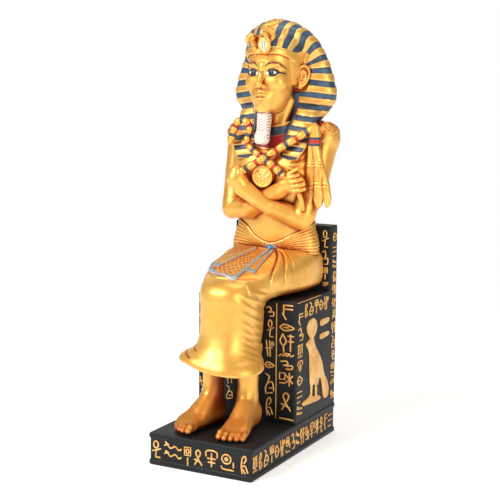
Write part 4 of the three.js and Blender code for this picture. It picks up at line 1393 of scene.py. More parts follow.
def beard_fn(x, y, z):
    d = beard_base(x, y, z)
    g, ax = beard_plait(x, z)
    on = step(197.0, 198.0, z) * step(209.2, 208.4, z)
    d = d - (0.44 * (g - 0.5)) * on
    d = d + 0.20 * np.exp(-((ax - 0.0) / 0.35) ** 2) * on
    d = d + 0.30 * np.exp(-((z - 209.0) / 0.35) ** 2)
    low = step(197.4, 196.4, z)
    dots = np.sin(x * 3.3 + 0.6 * np.sin(z * 2.3)) * np.sin(z * 3.5 + 0.8 * np.sin(x * 2.1))
    d = d - 0.18 * dots * low
    root = Cone((0, 24.5, 197), (0, 25.5, 210), 1.9, 3.0)(x, y, z)
    return smin(d, root, 1.0)


def beard_paint(x, y, z, n):
    back = 24.4 - y
    g, ax = beard_plait(x, z)
    low = step(197.4, 196.4, z)
    dots = np.sin(x * 3.3 + 0.6 * np.sin(z * 2.3)) * np.sin(z * 3.5 + 0.8 * np.sin(x * 2.1))
    # painted shade in the grooves of the plait and of the dotted lower end
    lines = 0.55 * step(0.55, 0.05, g) * step(197.0, 198.0, z) + 0.45 * low * step(-0.15, -0.6, dots)
    return {"white": np.minimum(209.3 - z, back), "recess": lines}


beard = Shape(beard_fn, [-6.0, 12.2, 188.6], [6.0, 31.6, 214.6])
piece("beard", beard, 0.36, beard_paint)

# ---------------------------------------------------------------- fields used for shading
WORLD = Group([f for _, f, _, _ in PIECES])


def seat_field(x, y, z):
    """The block around the figure, so that painted shade darkens the figure where they meet."""
    def box(x0, x1, y0, y1, z0, z1):
        dx = np.maximum(x0 - x, x - x1)
        dy = np.maximum(y0 - y, y - y1)
        dz = np.maximum(z0 - z, z - z1)
        inside = np.maximum(np.maximum(dx, dy), dz)
        return np.sqrt(np.maximum(dx, 0) ** 2 + np.maximum(dy, 0) ** 2 + np.maximum(dz, 0) ** 2) + np.minimum(inside, 0)
    a = box(-35, 35, -59, 59, 0, 19.4)
    b = box(-34.5, 34.5, -1.3, 58.8, 15, 95.6)
    c = box(-34.5, 34.5, 47, 58.8, 90, 137.3)
    return np.minimum(np.minimum(a, b), c)


def openness(points, normals, chunks):
    """How closed in the surface is, at a small and a larger reach, and how sharp its ridges are."""
    def one(c):
        p, n = points[c], normals[c]
        out = np.zeros((len(p), 4), F)
        for k, reach in ((0, 0.9), (1, 3.2), (3, 6.6)):
            q = p + n * F(reach)
            d = np.minimum(WORLD(q[:, 0], q[:, 1], q[:, 2]), seat_field(q[:, 0], q[:, 1], q[:, 2]))
            out[:, k] = np.clip((reach - d) / reach, 0, 1.2)
        q = p - n * F(0.7)
        d = WORLD(q[:, 0], q[:, 1], q[:, 2])
        out[:, 2] = np.clip((d + 0.7) / 0.7, 0, 1)
        return out
    return np.concatenate(list(POOL.map(one, chunks)))


# ---------------------------------------------------------------- materials
def nodes_of(mat):
    mat.use_nodes = True
    nt = mat.node_tree
    nt.nodes.clear()
    return nt


class Tree:
    def __init__(self, mat):
        self.nt = nodes_of(mat)

    def node(self, kind, **kw):
        n = self.nt.nodes.new(kind)
        for k, v in kw.items():
            setattr(n, k, v)
        return n

    def link(self, a, b):
        self.nt.links.new(a, b)

    def value(self, socket, v):
        if isinstance(v, (int, float)):
            socket.default_value = v
        elif isinstance(v, (tuple, list)):
            socket.default_value = v
        else:
            self.link(v, socket)

    def math(self, op, a, b=0.5, clamp=False):
        n = self.node("ShaderNodeMath", operation=op, use_clamp=clamp)
        self.value(n.inputs[0], a)
        self.value(n.inputs[1], b)
        return n.outputs[0]

    def ramp(self, v, lo, hi, a=0.0, b=1.0, kind="SMOOTHSTEP"):
        n = self.node("ShaderNodeMapRange", interpolation_type=kind)
        self.value(n.inputs["Value"], v)
        n.inputs["From Min"].default_value = lo
        n.inputs["From Max"].default_value = hi
        n.inputs["To Min"].default_value = a
        n.inputs["To Max"].default_value = b
        return n.outputs["Result"]

    def mix(self, fac, a, b, mode="MIX"):
        n = self.node("ShaderNodeMix", data_type="RGBA", blend_type=mode)
        self.value(n.inputs[0], fac)
        self.value(n.inputs[6], a)
        self.value(n.inputs[7], b)
        return n.outputs[2]

    def mixf(self, fac, a, b):
        n = self.node("ShaderNodeMix", data_type="FLOAT")
        self.value(n.inputs[0], fac)
        self.value(n.inputs[2], a)
        self.value(n.inputs[3], b)
        return n.outputs[0]

    def attr(self, name):
        n = self.node("ShaderNodeAttribute", attribute_name=name)
        s = self.node("ShaderNodeSeparateXYZ")
        self.link(n.outputs["Vector"], s.inputs[0])
        return s.outputs

    def noise(self, scale, detail=3.0, rough=0.5, distort=0.0, vector=None):
        n = self.node("ShaderNodeTexNoise")
        n.inputs["Scale"].default_value = scale
        n.inputs["Detail"].default_value = detail
        n.inputs["Roughness"].default_value = rough
        n.inputs["Distortion"].default_value = distort
        if vector is not None:
            self.link(vector, n.inputs["Vector"])
        return n.outputs["Fac"]


def col(r, g, b):
    """sRGB 0-255 to linear."""
    def f(v):
        v /= 255
        return v / 12.92 if v <= 0.04045 else ((v + 0.055) / 1.055) ** 2.4
    return (f(r), f(g), f(b), 1.0)


def make_paint():
    mat = bpy.data.materials.new("painted_gold")
    t = Tree(mat)
    out = t.node("ShaderNodeOutputMaterial")
    bsdf = t.node("ShaderNodeBsdfPrincipled")
    t.link(bsdf.outputs[0], out.inputs[0])
    coord = t.node("ShaderNodeTexCoord").outputs["Object"]
    blue_d, red_d, white_d = t.attr("paint_a")
    dark_d, teal_d, painted_highlight_d = t.attr("paint_b")
    cav, wide, ridge = t.attr("form")
    recess, brown_d, inlay_d = t.attr("paint_c")
    deep, sky_d, maroon = t.attr("deep")

    soft = t.noise(55, 4, 0.6, 0.4, coord)
    fine = t.noise(420, 3, 0.6, 0.0, coord)
    mid = t.noise(160, 3, 0.55, 0.3, coord)

    # gold paint with painted shade: orange-brown darkening in the hollows, between parts and where the figure meets the
    # block, darkest in the deepest places, from the surface's openness and each piece's painted shade, with a little
    # random variation
    gold = t.mix(t.ramp(soft, 0.35, 0.7), col(237, 177, 80), col(245, 193, 97))
    gold = t.mix(t.math("MULTIPLY", t.ramp(mid, 0.45, 0.8), 0.35), gold, col(226, 152, 58))
    shade_total = t.math("ADD", t.math("MULTIPLY", wide, 0.7), t.math("MULTIPLY", cav, 0.9))
    shade_total = t.math("ADD", shade_total, t.math("MULTIPLY", t.ramp(deep, 0.5, 1.15), 0.7))
    shade_total = t.math("ADD", shade_total, recess)
    shade_total = t.math("ADD", shade_total, t.math("MULTIPLY", t.math("SUBTRACT", mid, 0.5), 0.25))
    gold = t.mix(t.ramp(shade_total, 0.16, 1.0), gold, col(196, 98, 34))
    gold = t.mix(t.ramp(shade_total, 1.15, 2.6), gold, col(100, 36, 18))
    # painted shade: dark maroon on the inner flank of the legs
    gold = t.mix(t.math("MULTIPLY", maroon, 0.85), gold, col(98, 34, 26))
    # painted highlight: paler gold on sharp ridges
    gold = t.mix(t.math("MULTIPLY", t.ramp(ridge, 0.10, 0.5), 0.5), gold, col(252, 226, 150))

    def edge(d, w=0.10, rag=0.10):
        v = t.math("ADD", d, t.math("MULTIPLY", t.math("SUBTRACT", mid, 0.5), rag))
        return t.ramp(v, -w, w)

    m_blue, m_red, m_white = edge(blue_d), edge(red_d), edge(white_d)
    m_dark, m_teal, m_painted_highlight = edge(dark_d, 0.08, 0.03), edge(teal_d, 0.12, 0.25), edge(painted_highlight_d, 0.25, 0.3)
    m_brown, m_inlay = edge(brown_d, 0.12, 0.05), edge(inlay_d, 0.12, 0.1)

    # brown line of wash around the painted areas
    rim = t.math("MULTIPLY", t.ramp(t.math("ABSOLUTE", blue_d), 0.55, 0.0), 0.45)
    gold = t.mix(rim, gold, col(120, 70, 40))
    # painted highlight: pale gold where a piece marks raised relief or edges
    gold = t.mix(t.math("MULTIPLY", m_painted_highlight, 0.45), gold, col(246, 222, 150))
    blue = t.mix(t.ramp(mid, 0.35, 0.75), col(38, 60, 84), col(66, 98, 130))
    blue = t.mix(t.math("MULTIPLY", t.ramp(blue_d, 0.7, 0.1), 0.6), blue, col(24, 34, 50))
    # painted shade darkens the blue, red, white and teal paint too
    blue = t.mix(t.ramp(shade_total, 0.2, 1.1), blue, col(16, 22, 32))
    red = t.mix(t.ramp(mid, 0.4, 0.7), col(178, 26, 22), col(196, 40, 32))
    red = t.mix(t.ramp(shade_total, 0.3, 1.2), red, col(96, 12, 12))
    white = t.mix(t.ramp(shade_total, 0.15, 0.75), col(236, 222, 212), col(166, 142, 140))
    teal = t.mix(t.ramp(mid, 0.4, 0.65), col(104, 150, 164), col(150, 182, 182))
    teal = t.mix(t.ramp(shade_total, 0.35, 1.0), teal, col(90, 80, 66))

    c = t.mix(m_inlay, gold, col(226, 216, 170))
    c = t.mix(m_teal, c, teal)
    c = t.mix(m_white, c, white)
    c = t.mix(edge(sky_d, 0.1, 0.05), c, t.mix(t.ramp(mid, 0.4, 0.65), col(62, 110, 160), col(92, 142, 190)))
    c = t.mix(m_blue, c, blue)
    c = t.mix(m_red, c, red)
    c = t.mix(m_brown, c, col(104, 52, 22))
    c = t.mix(m_dark, c, col(20, 26, 34))
    t.link(c, bsdf.inputs["Base Color"])

    painted = t.math("MAXIMUM", t.math("MAXIMUM", m_blue, m_red), t.math("MAXIMUM", m_white, m_dark))
    painted = t.math("MAXIMUM", painted, t.math("MAXIMUM", t.math("MULTIPLY", m_teal, 0.8), m_brown))
    metal = t.mixf(painted, 0.58, 0.0)
    t.link(metal, bsdf.inputs["Metallic"])
    rough = t.mixf(painted, 0.38, 0.5)
    rough = t.math("ADD", rough, t.math("MULTIPLY", t.math("SUBTRACT", fine, 0.5), 0.12))
    rough = t.math("ADD", rough, t.math("MULTIPLY", t.ramp(shade_total, 0.3, 1.2), 0.12))
    t.link(rough, bsdf.inputs["Roughness"])
    bump = t.node("ShaderNodeBump")
    bump.inputs["Strength"].default_value = 0.10
    bump.inputs["Distance"].default_value = 0.0004
    t.link(t.math("ADD", fine, t.math("MULTIPLY", mid, 0.8)), bump.inputs["Height"])
    t.link(bump.outputs[0], bsdf.inputs["Normal"])
    bsdf.inputs["IOR"].default_value = 1.5
    bsdf.inputs["Coat Weight"].default_value = 0.12
    bsdf.inputs["Coat Roughness"].default_value = 0.25
    return mat


def make_black():
    mat = bpy.data.materials.new("black_block_paint")
    t = Tree(mat)
    out = t.node("ShaderNodeOutputMaterial")
    bsdf = t.node("ShaderNodeBsdfPrincipled")
    t.link(bsdf.outputs[0], out.inputs[0])
    coord = t.node("ShaderNodeTexCoord").outputs["Object"]
    soft = t.noise(38, 4, 0.6, 0.3, coord)
    fine = t.noise(500, 3, 0.6, 0.0, coord)
    edge = t.attr("form")[2]
    c = t.mix(t.ramp(soft, 0.35, 0.7), col(22, 26, 30), col(32, 35, 39))
    c = t.mix(t.math("MULTIPLY", edge, 0.5), c, col(78, 80, 84))
    t.link(c, bsdf.inputs["Base Color"])
    r = t.math("ADD", t.ramp(soft, 0.3, 0.75, 0.42, 0.54), t.math("MULTIPLY", t.math("SUBTRACT", fine, 0.5), 0.12))
    t.link(r, bsdf.inputs["Roughness"])
    bump = t.node("ShaderNodeBump")
    bump.inputs["Strength"].default_value = 0.12
    bump.inputs["Distance"].default_value = 0.0004
    t.link(fine, bump.inputs["Height"])
    t.link(bump.outputs[0], bsdf.inputs["Normal"])
    bsdf.inputs["Metallic"].default_value = 0.0
    bsdf.inputs["Specular IOR Level"].default_value = 0.22
    return mat


def make_sign_gold():
    mat = bpy.data.materials.new("sign_gold")
    t = Tree(mat)
    out = t.node("ShaderNodeOutputMaterial")
    bsdf = t.node("ShaderNodeBsdfPrincipled")
    t.link(bsdf.outputs[0], out.inputs[0])
    coord = t.node("ShaderNodeTexCoord").outputs["Object"]
    soft = t.noise(120, 3, 0.55, 0.3, coord)
    fine = t.noise(520, 3, 0.6, 0.0, coord)
    low = t.attr("form")[0]
    c = t.mix(t.ramp(soft, 0.35, 0.7), col(222, 164, 88), col(240, 196, 122))
    c = t.mix(t.ramp(t.math("ADD", low, t.math("MULTIPLY", t.math("SUBTRACT", soft, 0.5), 0.6)), 0.35, 0.95), c, col(88, 46, 24))
    t.link(c, bsdf.inputs["Base Color"])
    t.link(t.ramp(fine, 0.3, 0.7, 0.36, 0.5), bsdf.inputs["Roughness"])
    bsdf.inputs["Metallic"].default_value = 0.35
    bump = t.node("ShaderNodeBump")
    bump.inputs["Strength"].default_value = 0.10
    bump.inputs["Distance"].default_value = 0.0003
    t.link(fine, bump.inputs["Height"])
    t.link(bump.outputs[0], bsdf.inputs["Normal"])
    return mat


def make_floor():
    mat = bpy.data.materials.new("pale_floor")
    t = Tree(mat)
    out = t.node("ShaderNodeOutputMaterial")
    bsdf = t.node("ShaderNodeBsdfPrincipled")
    t.link(bsdf.outputs[0], out.inputs[0])
    bsdf.inputs["Base Color"].default_value = (0.86, 0.86, 0.86, 1)
    bsdf.inputs["Emission Color"].default_value = (1, 1, 1, 1)
    bsdf.inputs["Emission Strength"].default_value = 0.42
    bsdf.inputs["Roughness"].default_value = 0.9
    bsdf.inputs["Specular IOR Level"].default_value = 0.1
    return mat


PAINT, BLACK, SIGN, FLOOR = make_paint(), make_black(), make_sign_gold(), make_floor()


# ---------------------------------------------------------------- meshes
def new_mesh(name, verts_mm, loops, sizes, attrs=None):
    me = bpy.data.meshes.new(name)
    me.vertices.add(len(verts_mm))
    me.vertices.foreach_set("co", (np.asarray(verts_mm, F) * F(0.001)).ravel())
    me.loops.add(len(loops))
    me.loops.foreach_set("vertex_index", np.asarray(loops, np.int32))
    starts = np.concatenate([[0], np.cumsum(sizes)[:-1]]).astype(np.int32)
    me.polygons.add(len(sizes))
    me.polygons.foreach_set("loop_start", starts)
    me.update(calc_edges=True)
    me.validate()
    me.polygons.foreach_set("use_smooth", np.ones(len(me.polygons), bool))
    for key, arr in (attrs or {}).items():
        a = me.attributes.new(key, "FLOAT_VECTOR", "POINT")
        a.data.foreach_set("vector", np.asarray(arr, F).ravel())
    ob = bpy.data.objects.new(name, me)
    bpy.context.scene.collection.objects.link(ob)
    return ob


def finish_piece(ob, mat, node):
    ob.data.materials.append(mat)
    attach(ob, "root")
    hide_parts(node)


NAMES_A = ("blue", "red", "white")
NAMES_B = ("dark", "teal", "pale")
NAMES_C = ("recess", "brown", "pale_inlay")
total = 0
for name, field, h, paint in PIECES:
    t0 = time.time()
    verts, quads, chunks = mesh_field(field, field.lo, field.hi, h)
    verts, normals = settle(field, verts, chunks, h)
    form = openness(verts, normals, chunks)
    empty = np.full(len(verts), -3.0, F)
    got = {}
    if paint:
        parts = [paint(verts[c][:, 0], verts[c][:, 1], verts[c][:, 2], normals[c]) for c in chunks]
        for key in parts[0]:
            got[key] = np.concatenate([np.asarray(p[key], F) for p in parts])
    attrs = {"form": form[:, :3], "deep": np.stack([form[:, 3], got.get("sky", empty), got.get("maroon", empty * 0)], 1),
             "paint_a": np.stack([got.get(k, empty) for k in NAMES_A], 1),
             "paint_b": np.stack([got.get(k, empty) for k in NAMES_B], 1),
             "paint_c": np.stack([got.get("recess", np.zeros(len(verts), F)), got.get("brown", empty),
                                  got.get("pale_inlay", empty)], 1)}
    ob = new_mesh(name, verts, quads.ravel(), np.full(len(quads), 4), attrs)
    finish_piece(ob, PAINT, "seated_pharaoh")
    total += 2 * len(quads)
    print(f"{name}: {len(verts)} verts, {2 * len(quads)} tris, {time.time() - t0:.1f} s", flush=True)
print("figure triangles", total, "time", round(time.time() - START, 1))


# ---------------------------------------------------------------- throne block
def rounded_rect(x0, x1, y0, y1, r, n=5):
    pts = []
    for cx, cy, a0 in ((x1 - r, y0 + r, -90), (x1 - r, y1 - r, 0), (x0 + r, y1 - r, 90), (x0 + r, y0 + r, 180)):
        for i in range(n + 1):
            a = math.radians(a0 + 90 * i / n)
            pts.append((cx + r * math.cos(a), cy + r * math.sin(a)))
    return pts


def stacked(name, x0, x1, y0, y1, levels, r=1.6):
    """A block from rounded rectangles: levels are (z, inset)."""
    verts, faces = [], []
    n = None
    for z, inset in levels:
        ring = rounded_rect(x0 + inset, x1 - inset, y0 + inset, y1 - inset, max(r - inset * 0.3, 0.5))
        n = len(ring)
        verts += [(x, y, z) for x, y in ring]
    for k in range(len(levels) - 1):
        for i in range(n):
            j = (i + 1) % n
            faces.append((k * n + i, k * n + j, (k + 1) * n + j, (k + 1) * n + i))
    faces.append(tuple(range(n))[::-1])
    faces.append(tuple((len(levels) - 1) * n + i for i in range(n)))
    loops = np.concatenate([np.array(f) for f in faces])
    ob = new_mesh(name, np.array(verts), loops, [len(f) for f in faces])
    return ob


def join_solid(base, others, op):
    for o in others:
        m = base.modifiers.new("join", "BOOLEAN")
        m.operation = op
        m.solver = "EXACT"
        m.object = o
    dg = bpy.context.evaluated_depsgraph_get()
    me = bpy.data.meshes.new_from_object(base.evaluated_get(dg))
    base.modifiers.clear()
    base.data = me
    for o in others:
        bpy.data.objects.remove(o)


plinth = stacked("throne_block", -35, 35, -59, 59,
                 [(0, 0.5), (0.25, 0.15), (0.6, 0), (2.2, 0), (2.7, 0.12), (3.2, 0.5), (3.5, 0.6),
                  (15.9, 0.6), (16.2, 0.5), (16.7, 0.12), (17.2, 0), (18.6, 0), (19.05, 0.13), (19.3, 0.32), (19.4, 0.6)])
seat = stacked("seat_part", -34.5, 34.5, -1.3, 58.8, [(18.0, 0), (94.7, 0), (95.2, 0.12), (95.5, 0.34), (95.6, 0.7)], 1.5)
panel = stacked("panel_part", -34.5, 34.5, 47, 58.8, [(60, 0.02), (136.3, 0.02), (136.9, 0.14), (137.2, 0.38), (137.3, 0.8)], 1.5)
join_solid(plinth, [seat, panel], "UNION")
cuts = []
for sx in (-1, 1):
    c = stacked("groove", min(33.95 * sx, 37 * sx), max(33.95 * sx, 37 * sx), 48.5, 49.3, [(21.5, 0), (140, 0)], 0.2)
    cuts.append(c)
join_solid(plinth, cuts, "DIFFERENCE")
me = plinth.data
for p in me.polygons:
    p.use_smooth = True
if hasattr(me, "set_sharp_from_angle"):
    me.set_sharp_from_angle(angle=math.radians(32))
co = np.zeros(len(me.vertices) * 3, F)
me.vertices.foreach_get("co", co)
co = co.reshape(-1, 3) * 1000
a = me.attributes.new("form", "FLOAT_VECTOR", "POINT")
edge_amount = np.zeros(len(co), F)
a.data.foreach_set("vector", np.stack([edge_amount, edge_amount, edge_amount], 1).ravel())
me.materials.clear()
finish_piece(plinth, BLACK, "throne_with_plinth")


# ---------------------------------------------------------------- raised strokes
class Strokes:
    """Raised rounded strokes on a flat face."""

    def __init__(self):
        self.v, self.f, self.form = [], [], []

    def frame(self, origin, u, v, n):
        self.o, self.u, self.w, self.n = (np.array(k, float) for k in (origin, u, v, n))

    def ribbon(self, pts, width=1.25, height=0.5, closed=False):
        p = np.array(pts, float)
        if closed:
            t = np.roll(p, -1, 0) - np.roll(p, 1, 0)
        else:
            t = np.gradient(p, axis=0)
        t /= np.maximum(np.linalg.norm(t, axis=1, keepdims=True), 1e-9)
        nrm = np.stack([-t[:, 1], t[:, 0]], 1)
        prof = [(-0.5, -0.25, 1.0), (-0.46, 0.3, 0.7), (-0.28, 0.85, 0.1), (0, 1.0, 0.0), (0.28, 0.85, 0.1), (0.46, 0.3, 0.7), (0.5, -0.25, 1.0)]
        rows = []
        scale = np.ones(len(p))
        pts2 = p
        if not closed:
            # rounded ends
            ends = [(p[0] - t[0] * width * 0.42, 0.35), (p[0] - t[0] * width * 0.25, 0.8)]
            tail_ = [(p[-1] + t[-1] * width * 0.25, 0.8), (p[-1] + t[-1] * width * 0.42, 0.35)]
            pts2 = np.vstack([ends[0][0], ends[1][0], p, tail_[0][0], tail_[1][0]])
            scale = np.concatenate([[0.35, 0.8], np.ones(len(p)), [0.8, 0.35]])
            nrm = np.vstack([nrm[:1], nrm[:1], nrm, nrm[-1:], nrm[-1:]])
        base = len(self.v)
        m = len(prof)
        for q, nn, sc in zip(pts2, nrm, scale):
            for a_, h_, low in prof:
                uv = q + nn * a_ * width * sc
                hh = h_ * height * (sc if h_ > 0 else 1)
                self.v.append(self.o + self.u * uv[0] + self.w * uv[1] + self.n * hh)
                self.form.append(low)
        k = len(pts2)
        for i in range(k if closed else k - 1):
            j = (i + 1) % k
            for a_ in range(m - 1):
                self.f.append((base + i * m + a_, base + j * m + a_, base + j * m + a_ + 1, base + i * m + a_ + 1))
            self.f.append((base + i * m + m - 1, base + j * m + m - 1, base + j * m, base + i * m))
        if not closed:
            self.f.append(tuple(base + a_ for a_ in range(m)))
            self.f.append(tuple(base + (k - 1) * m + a_ for a_ in range(m))[::-1])

    def plate(self, outline, height=0.6, inset=0.45):
        """A flat raised shape with a rounded border, from a star-shaped or simple outline."""
        p = np.array(outline, float)
        t = np.roll(p, -1, 0) - np.roll(p, 1, 0)
        t /= np.maximum(np.linalg.norm(t, axis=1, keepdims=True), 1e-9)
        nrm = np.stack([-t[:, 1], t[:, 0]], 1)
        base = len(self.v)
        n = len(p)
        for off, hh, low in ((0, -0.2, 1.0), (0, 0.35, 0.8), (0.35, 0.85, 0.35), (1.0, 1.0, 0.0)):
            for q, nn in zip(p, nrm):
                uv = q + nn * inset * off
                self.v.append(self.o + self.u * uv[0] + self.w * uv[1] + self.n * hh * height)
                self.form.append(low)
        for k in range(3):
            for i in range(n):
                j = (i + 1) % n
                self.f.append((base + k * n + i, base + k * n + j, base + (k + 1) * n + j, base + (k + 1) * n + i))
        self.f.append(tuple(base + 3 * n + i for i in range(n)))
        self.f.append(tuple(base + i for i in range(n))[::-1])

    def make(self, name, mat, node):
        loops = np.concatenate([np.array(f) for f in self.f])
        form = np.array(self.form, F)
        ob = new_mesh(name, np.array(self.v), loops, [len(f) for f in self.f],
                      {"form": np.stack([form, form * 0, form * 0], 1)})
        bm = bmesh.new()
        bm.from_mesh(ob.data)
        bmesh.ops.recalc_face_normals(bm, faces=bm.faces)
        bm.to_mesh(ob.data)
        bm.free()
        finish_piece(ob, mat, node)
        return ob


def arc(cx, cy, rx, ry, a0=0, a1=360, n=14):
    return [(cx + rx * math.cos(math.radians(a0 + (a1 - a0) * i / n)),
             cy + ry * math.sin(math.radians(a0 + (a1 - a0) * i / n))) for i in range(n + (abs(a1 - a0) < 360))]


def line(x0, y0, x1, y1, n=2):
    return [(x0 + (x1 - x0) * i / n, y0 + (y1 - y0) * i / n) for i in range(n + 1)]


def wave(x0, y0, x1, y1, amp, waves, n=None):
    n = n or waves * 6
    out = []
    L = math.hypot(x1 - x0, y1 - y0)
    ux, uy = (x1 - x0) / L, (y1 - y0) / L
    for i in range(n + 1):
        t = i / n
        s = math.sin(t * waves * 2 * math.pi) * amp
        out.append((x0 + (x1 - x0) * t - uy * s, y0 + (y1 - y0) * t + ux * s))
    return out


def bent(points, n=4):
    return [tuple(p) for p in spline([list(p) for p in points], n)]


# invented stroke groups in a unit box: (points, closed)
MARKS = {
    "loop_bars": [(arc(.46, .78, .24, .2), True), (line(.1, .38, .9, .56), False), (bent([(.5, .42), (.44, .06), (.84, .04)]), False)],
    "two_waves": [(wave(.02, .78, .98, .70, .09, 2), False), (wave(.02, .3, .98, .22, .09, 2), False), (line(.08, .98, .26, .86), False), (line(.08, .46, .26, .38), False)],
    "box_oval": [([(.1, .55), (.1, .98), (.9, .98), (.9, .55)], True), (arc(.5, .76, .2, .12), True), (line(.5, .4, .5, .02), False)],
    "knot": [(bent([(.2, .1), (.5, .45), (.8, .8), (.55, .98), (.3, .8), (.6, .4), (.95, .1)]), False), (line(.15, .4, .85, .25), False)],
    "arch_rack": [(bent([(.06, .62), (.08, .9), (.5, .98), (.92, .9), (.94, .62)]), False), (line(.5, .8, .5, .05), False), (line(.2, .5, .8, .5), False), (line(.24, .28, .76, .28), False)],
    "ring_dot": [(arc(.42, .68, .34, .28), True), (arc(.42, .68, .1, .08), True), (bent([(.04, .2), (.2, .06), (.95, .04)]), False), (line(.95, .5, .95, .24), False)],
    "plume": [(bent([(.3, .02), (.2, .4), (.3, .85), (.55, .98), (.7, .8), (.5, .6)]), False), (bent([(.3, .4), (.6, .45), (.9, .1)]), False), (line(.35, .25, .6, .04), False)],
    "fork": [(line(.2, .98, .2, .35), False), (line(.2, .98, .9, .98), False), (line(.2, .72, .9, .72), False), (line(.1, .4, .4, .02), False)],
    "leaf_bars": [(bent([(.2, .98), (.02, .6), (.25, .35), (.45, .6), (.22, .98)]), False), (line(.26, .35, .3, .0), False), (line(.6, .9, .98, .9), False), (line(.6, .6, .98, .6), False), (line(.78, .98, .78, .05), False)],
    "fish": [(bent([(.02, .5), (.3, .85), (.7, .7), (.98, .45), (.7, .25), (.3, .15), (.02, .5)]), False), (line(.3, .5, .6, .5), False)],
    "zigzag": [([(.0, .3), (.14, .7), (.28, .3), (.42, .7), (.56, .3), (.7, .7), (.84, .3), (.98, .7)], False), (line(.3, .98, .74, .9), False)],
    "block_star": [([(.05, .5), (.05, .95), (.42, .95), (.42, .5)], True), (line(.72, .98, .72, .1), False), (line(.5, .8, .94, .3), False), (line(.5, .3, .94, .8), False), (line(.08, .25, .4, .25), False)],
    "hooks": [(bent([(.1, .9), (.5, .98), (.6, .6), (.3, .45)]), False), (bent([(.5, .4), (.9, .5), (.9, .1), (.5, .05)]), False)],
    "seat_shape": [(bent([(.15, .98), (.5, .85), (.35, .55), (.15, .3), (.2, .02)]), False), (bent([(.4, .55), (.8, .6), (.95, .2)]), False), (line(.2, .02, .8, .1), False), (line(.5, .3, .75, .32), False)],
    "bars": [(line(.05, .8, .95, .8), False), (line(.05, .45, .95, .45), False), (line(.05, .1, .6, .1), False)],
    "drops": [(arc(.25, .65, .18, .28), True), (arc(.72, .35, .18, .28), True), (line(.1, .12, .4, .12), False)],
    "twin": [(line(.1, .98, .3, .02), False), (line(.5, .98, .6, .02), False), (line(.0, .5, .8, .55), False), (arc(.85, .8, .12, .12), True)],
    "comb": [(line(.05, .9, .95, .9), False), (line(.15, .9, .1, .3), False), (line(.45, .9, .45, .2), False), (line(.78, .9, .85, .3), False), (line(.1, .1, .9, .1), False)],
}
NAMES = list(MARKS)


def put(st, mark, x0, y0, x1, y1, width=1.2, height=0.5):
    sx, sy = x1 - x0, y1 - y0
    for pts, closed in MARKS[mark]:
        q = [(x0 + a_ * sx, y0 + b_ * sy) for a_, b_ in pts]
        st.ribbon(q, width, height, closed)


signs = Strokes()
# plinth front
signs.frame((0, -58.4, 0), (1, 0, 0), (0, 0, 1), (0, -1, 0))
for mark, x0, x1, z0, z1 in (("loop_bars", -33.0, -26.0, 4.6, 15.0), ("two_waves", -24.0, -12.0, 5.0, 15.4),
                             ("box_oval", -10.4, -5.2, 3.2, 14.6), ("knot", -4.0, 2.2, 3.9, 14.0),
                             ("arch_rack", 4.2, 12.6, 4.8, 15.2), ("ring_dot", 14.6, 23.4, 4.7, 14.6),
                             ("plume", 27.0, 33.0, 4.4, 15.2)):
    put(signs, mark, x0, z0, x1, z1, 1.15, 0.55)
# plinth sides and back
rng = np.random.default_rng(7)


def row(st, u0, u1, v0, v1, start, pitch, width=1.1):
    u, k = u0, start
    while u + pitch * 0.7 < u1:
        w = pitch * (0.62 + 0.24 * ((k * 37) % 10) / 10)
        put(st, NAMES[(k * 7 + 3) % len(NAMES)], u, v0, min(u + w, u1), v1, width)
        u += w + 1.5
        k += 1


def column(st, u0, u1, v0, v1, start, pitch, width=1.1):
    v, k = v1, start
    while v - pitch * 0.6 > v0:
        hgt = pitch * (0.6 + 0.3 * ((k * 53) % 10) / 10)
        put(st, NAMES[(k * 5 + 2) % len(NAMES)], u0, max(v - hgt, v0), u1, v, width)
        v -= hgt + 1.6
        k += 1


signs.frame((34.4, 0, 0), (0, 1, 0), (0, 0, 1), (1, 0, 0))
row(signs, -56.4, 56.4, 4.6, 14.8, 2, 7.6)
signs.frame((-34.4, 0, 0), (0, -1, 0), (0, 0, 1), (-1, 0, 0))
row(signs, -56.4, 56.4, 4.6, 14.8, 5, 8.4)
signs.frame((0, 58.4, 0), (-1, 0, 0), (0, 0, 1), (0, 1, 0))
row(signs, -32, 32, 4.6, 14.8, 9, 8.8)

# throne front: two columns to the figure's left, with a thin line between them
signs.frame((0, -1.3, 0), (1, 0, 0), (0, 0, 1), (0, -1, 0))
signs.ribbon(line(21.0, 94.0, 21.2, 22.0, 8), 0.7, 0.35)
signs.ribbon(line(-21.0, 94.0, -21.2, 22.0, 8), 0.7, 0.35)
for mark, z0, z1, x0, x1 in (("hooks", 85.5, 91.5, 13.4, 19.4), ("loop_bars", 72.5, 83.5, 14.2, 19.4), ("twin", 60.5, 70.5, 13.6, 19.2),
                             ("fish", 52.6, 57.6, 13.2, 19.8), ("seat_shape", 36.4, 49.6, 12.8, 20.0), ("plume", 22.8, 34.6, 13.4, 19.6)):
    put(signs, mark, x0, z0, x1, z1, 1.05)
for mark, z0, z1, x0, x1 in (("fork", 84.6, 93.6, 24.0, 32.6), ("fish", 77.0, 82.4, 23.2, 33.2), ("leaf_bars", 64.6, 75.6, 23.4, 32.8),
                             ("zigzag", 61.0, 63.6, 23.2, 33.0), ("hooks", 53.6, 58.8, 23.4, 32.8), ("block_star", 42.6, 51.6, 23.0, 33.0),
                             ("knot", 26.6, 39.0, 23.8, 31.6)):
    put(signs, mark, x0, z0, x1, z1, 1.15)
signs.ribbon(line(24.0, 22.4, 33.0, 22.0, 3), 1.3, 0.5)
column(signs, -33.4, -27.6, 22, 93, 4, 9.5)
column(signs, -25.6, -22.4, 24, 60, 8, 9.0, 0.9)
column(signs, -14.0, -9.0, 23, 56, 11, 10, 1.0)
column(signs, 2.0, 8.0, 23, 56, 6, 10, 1.0)

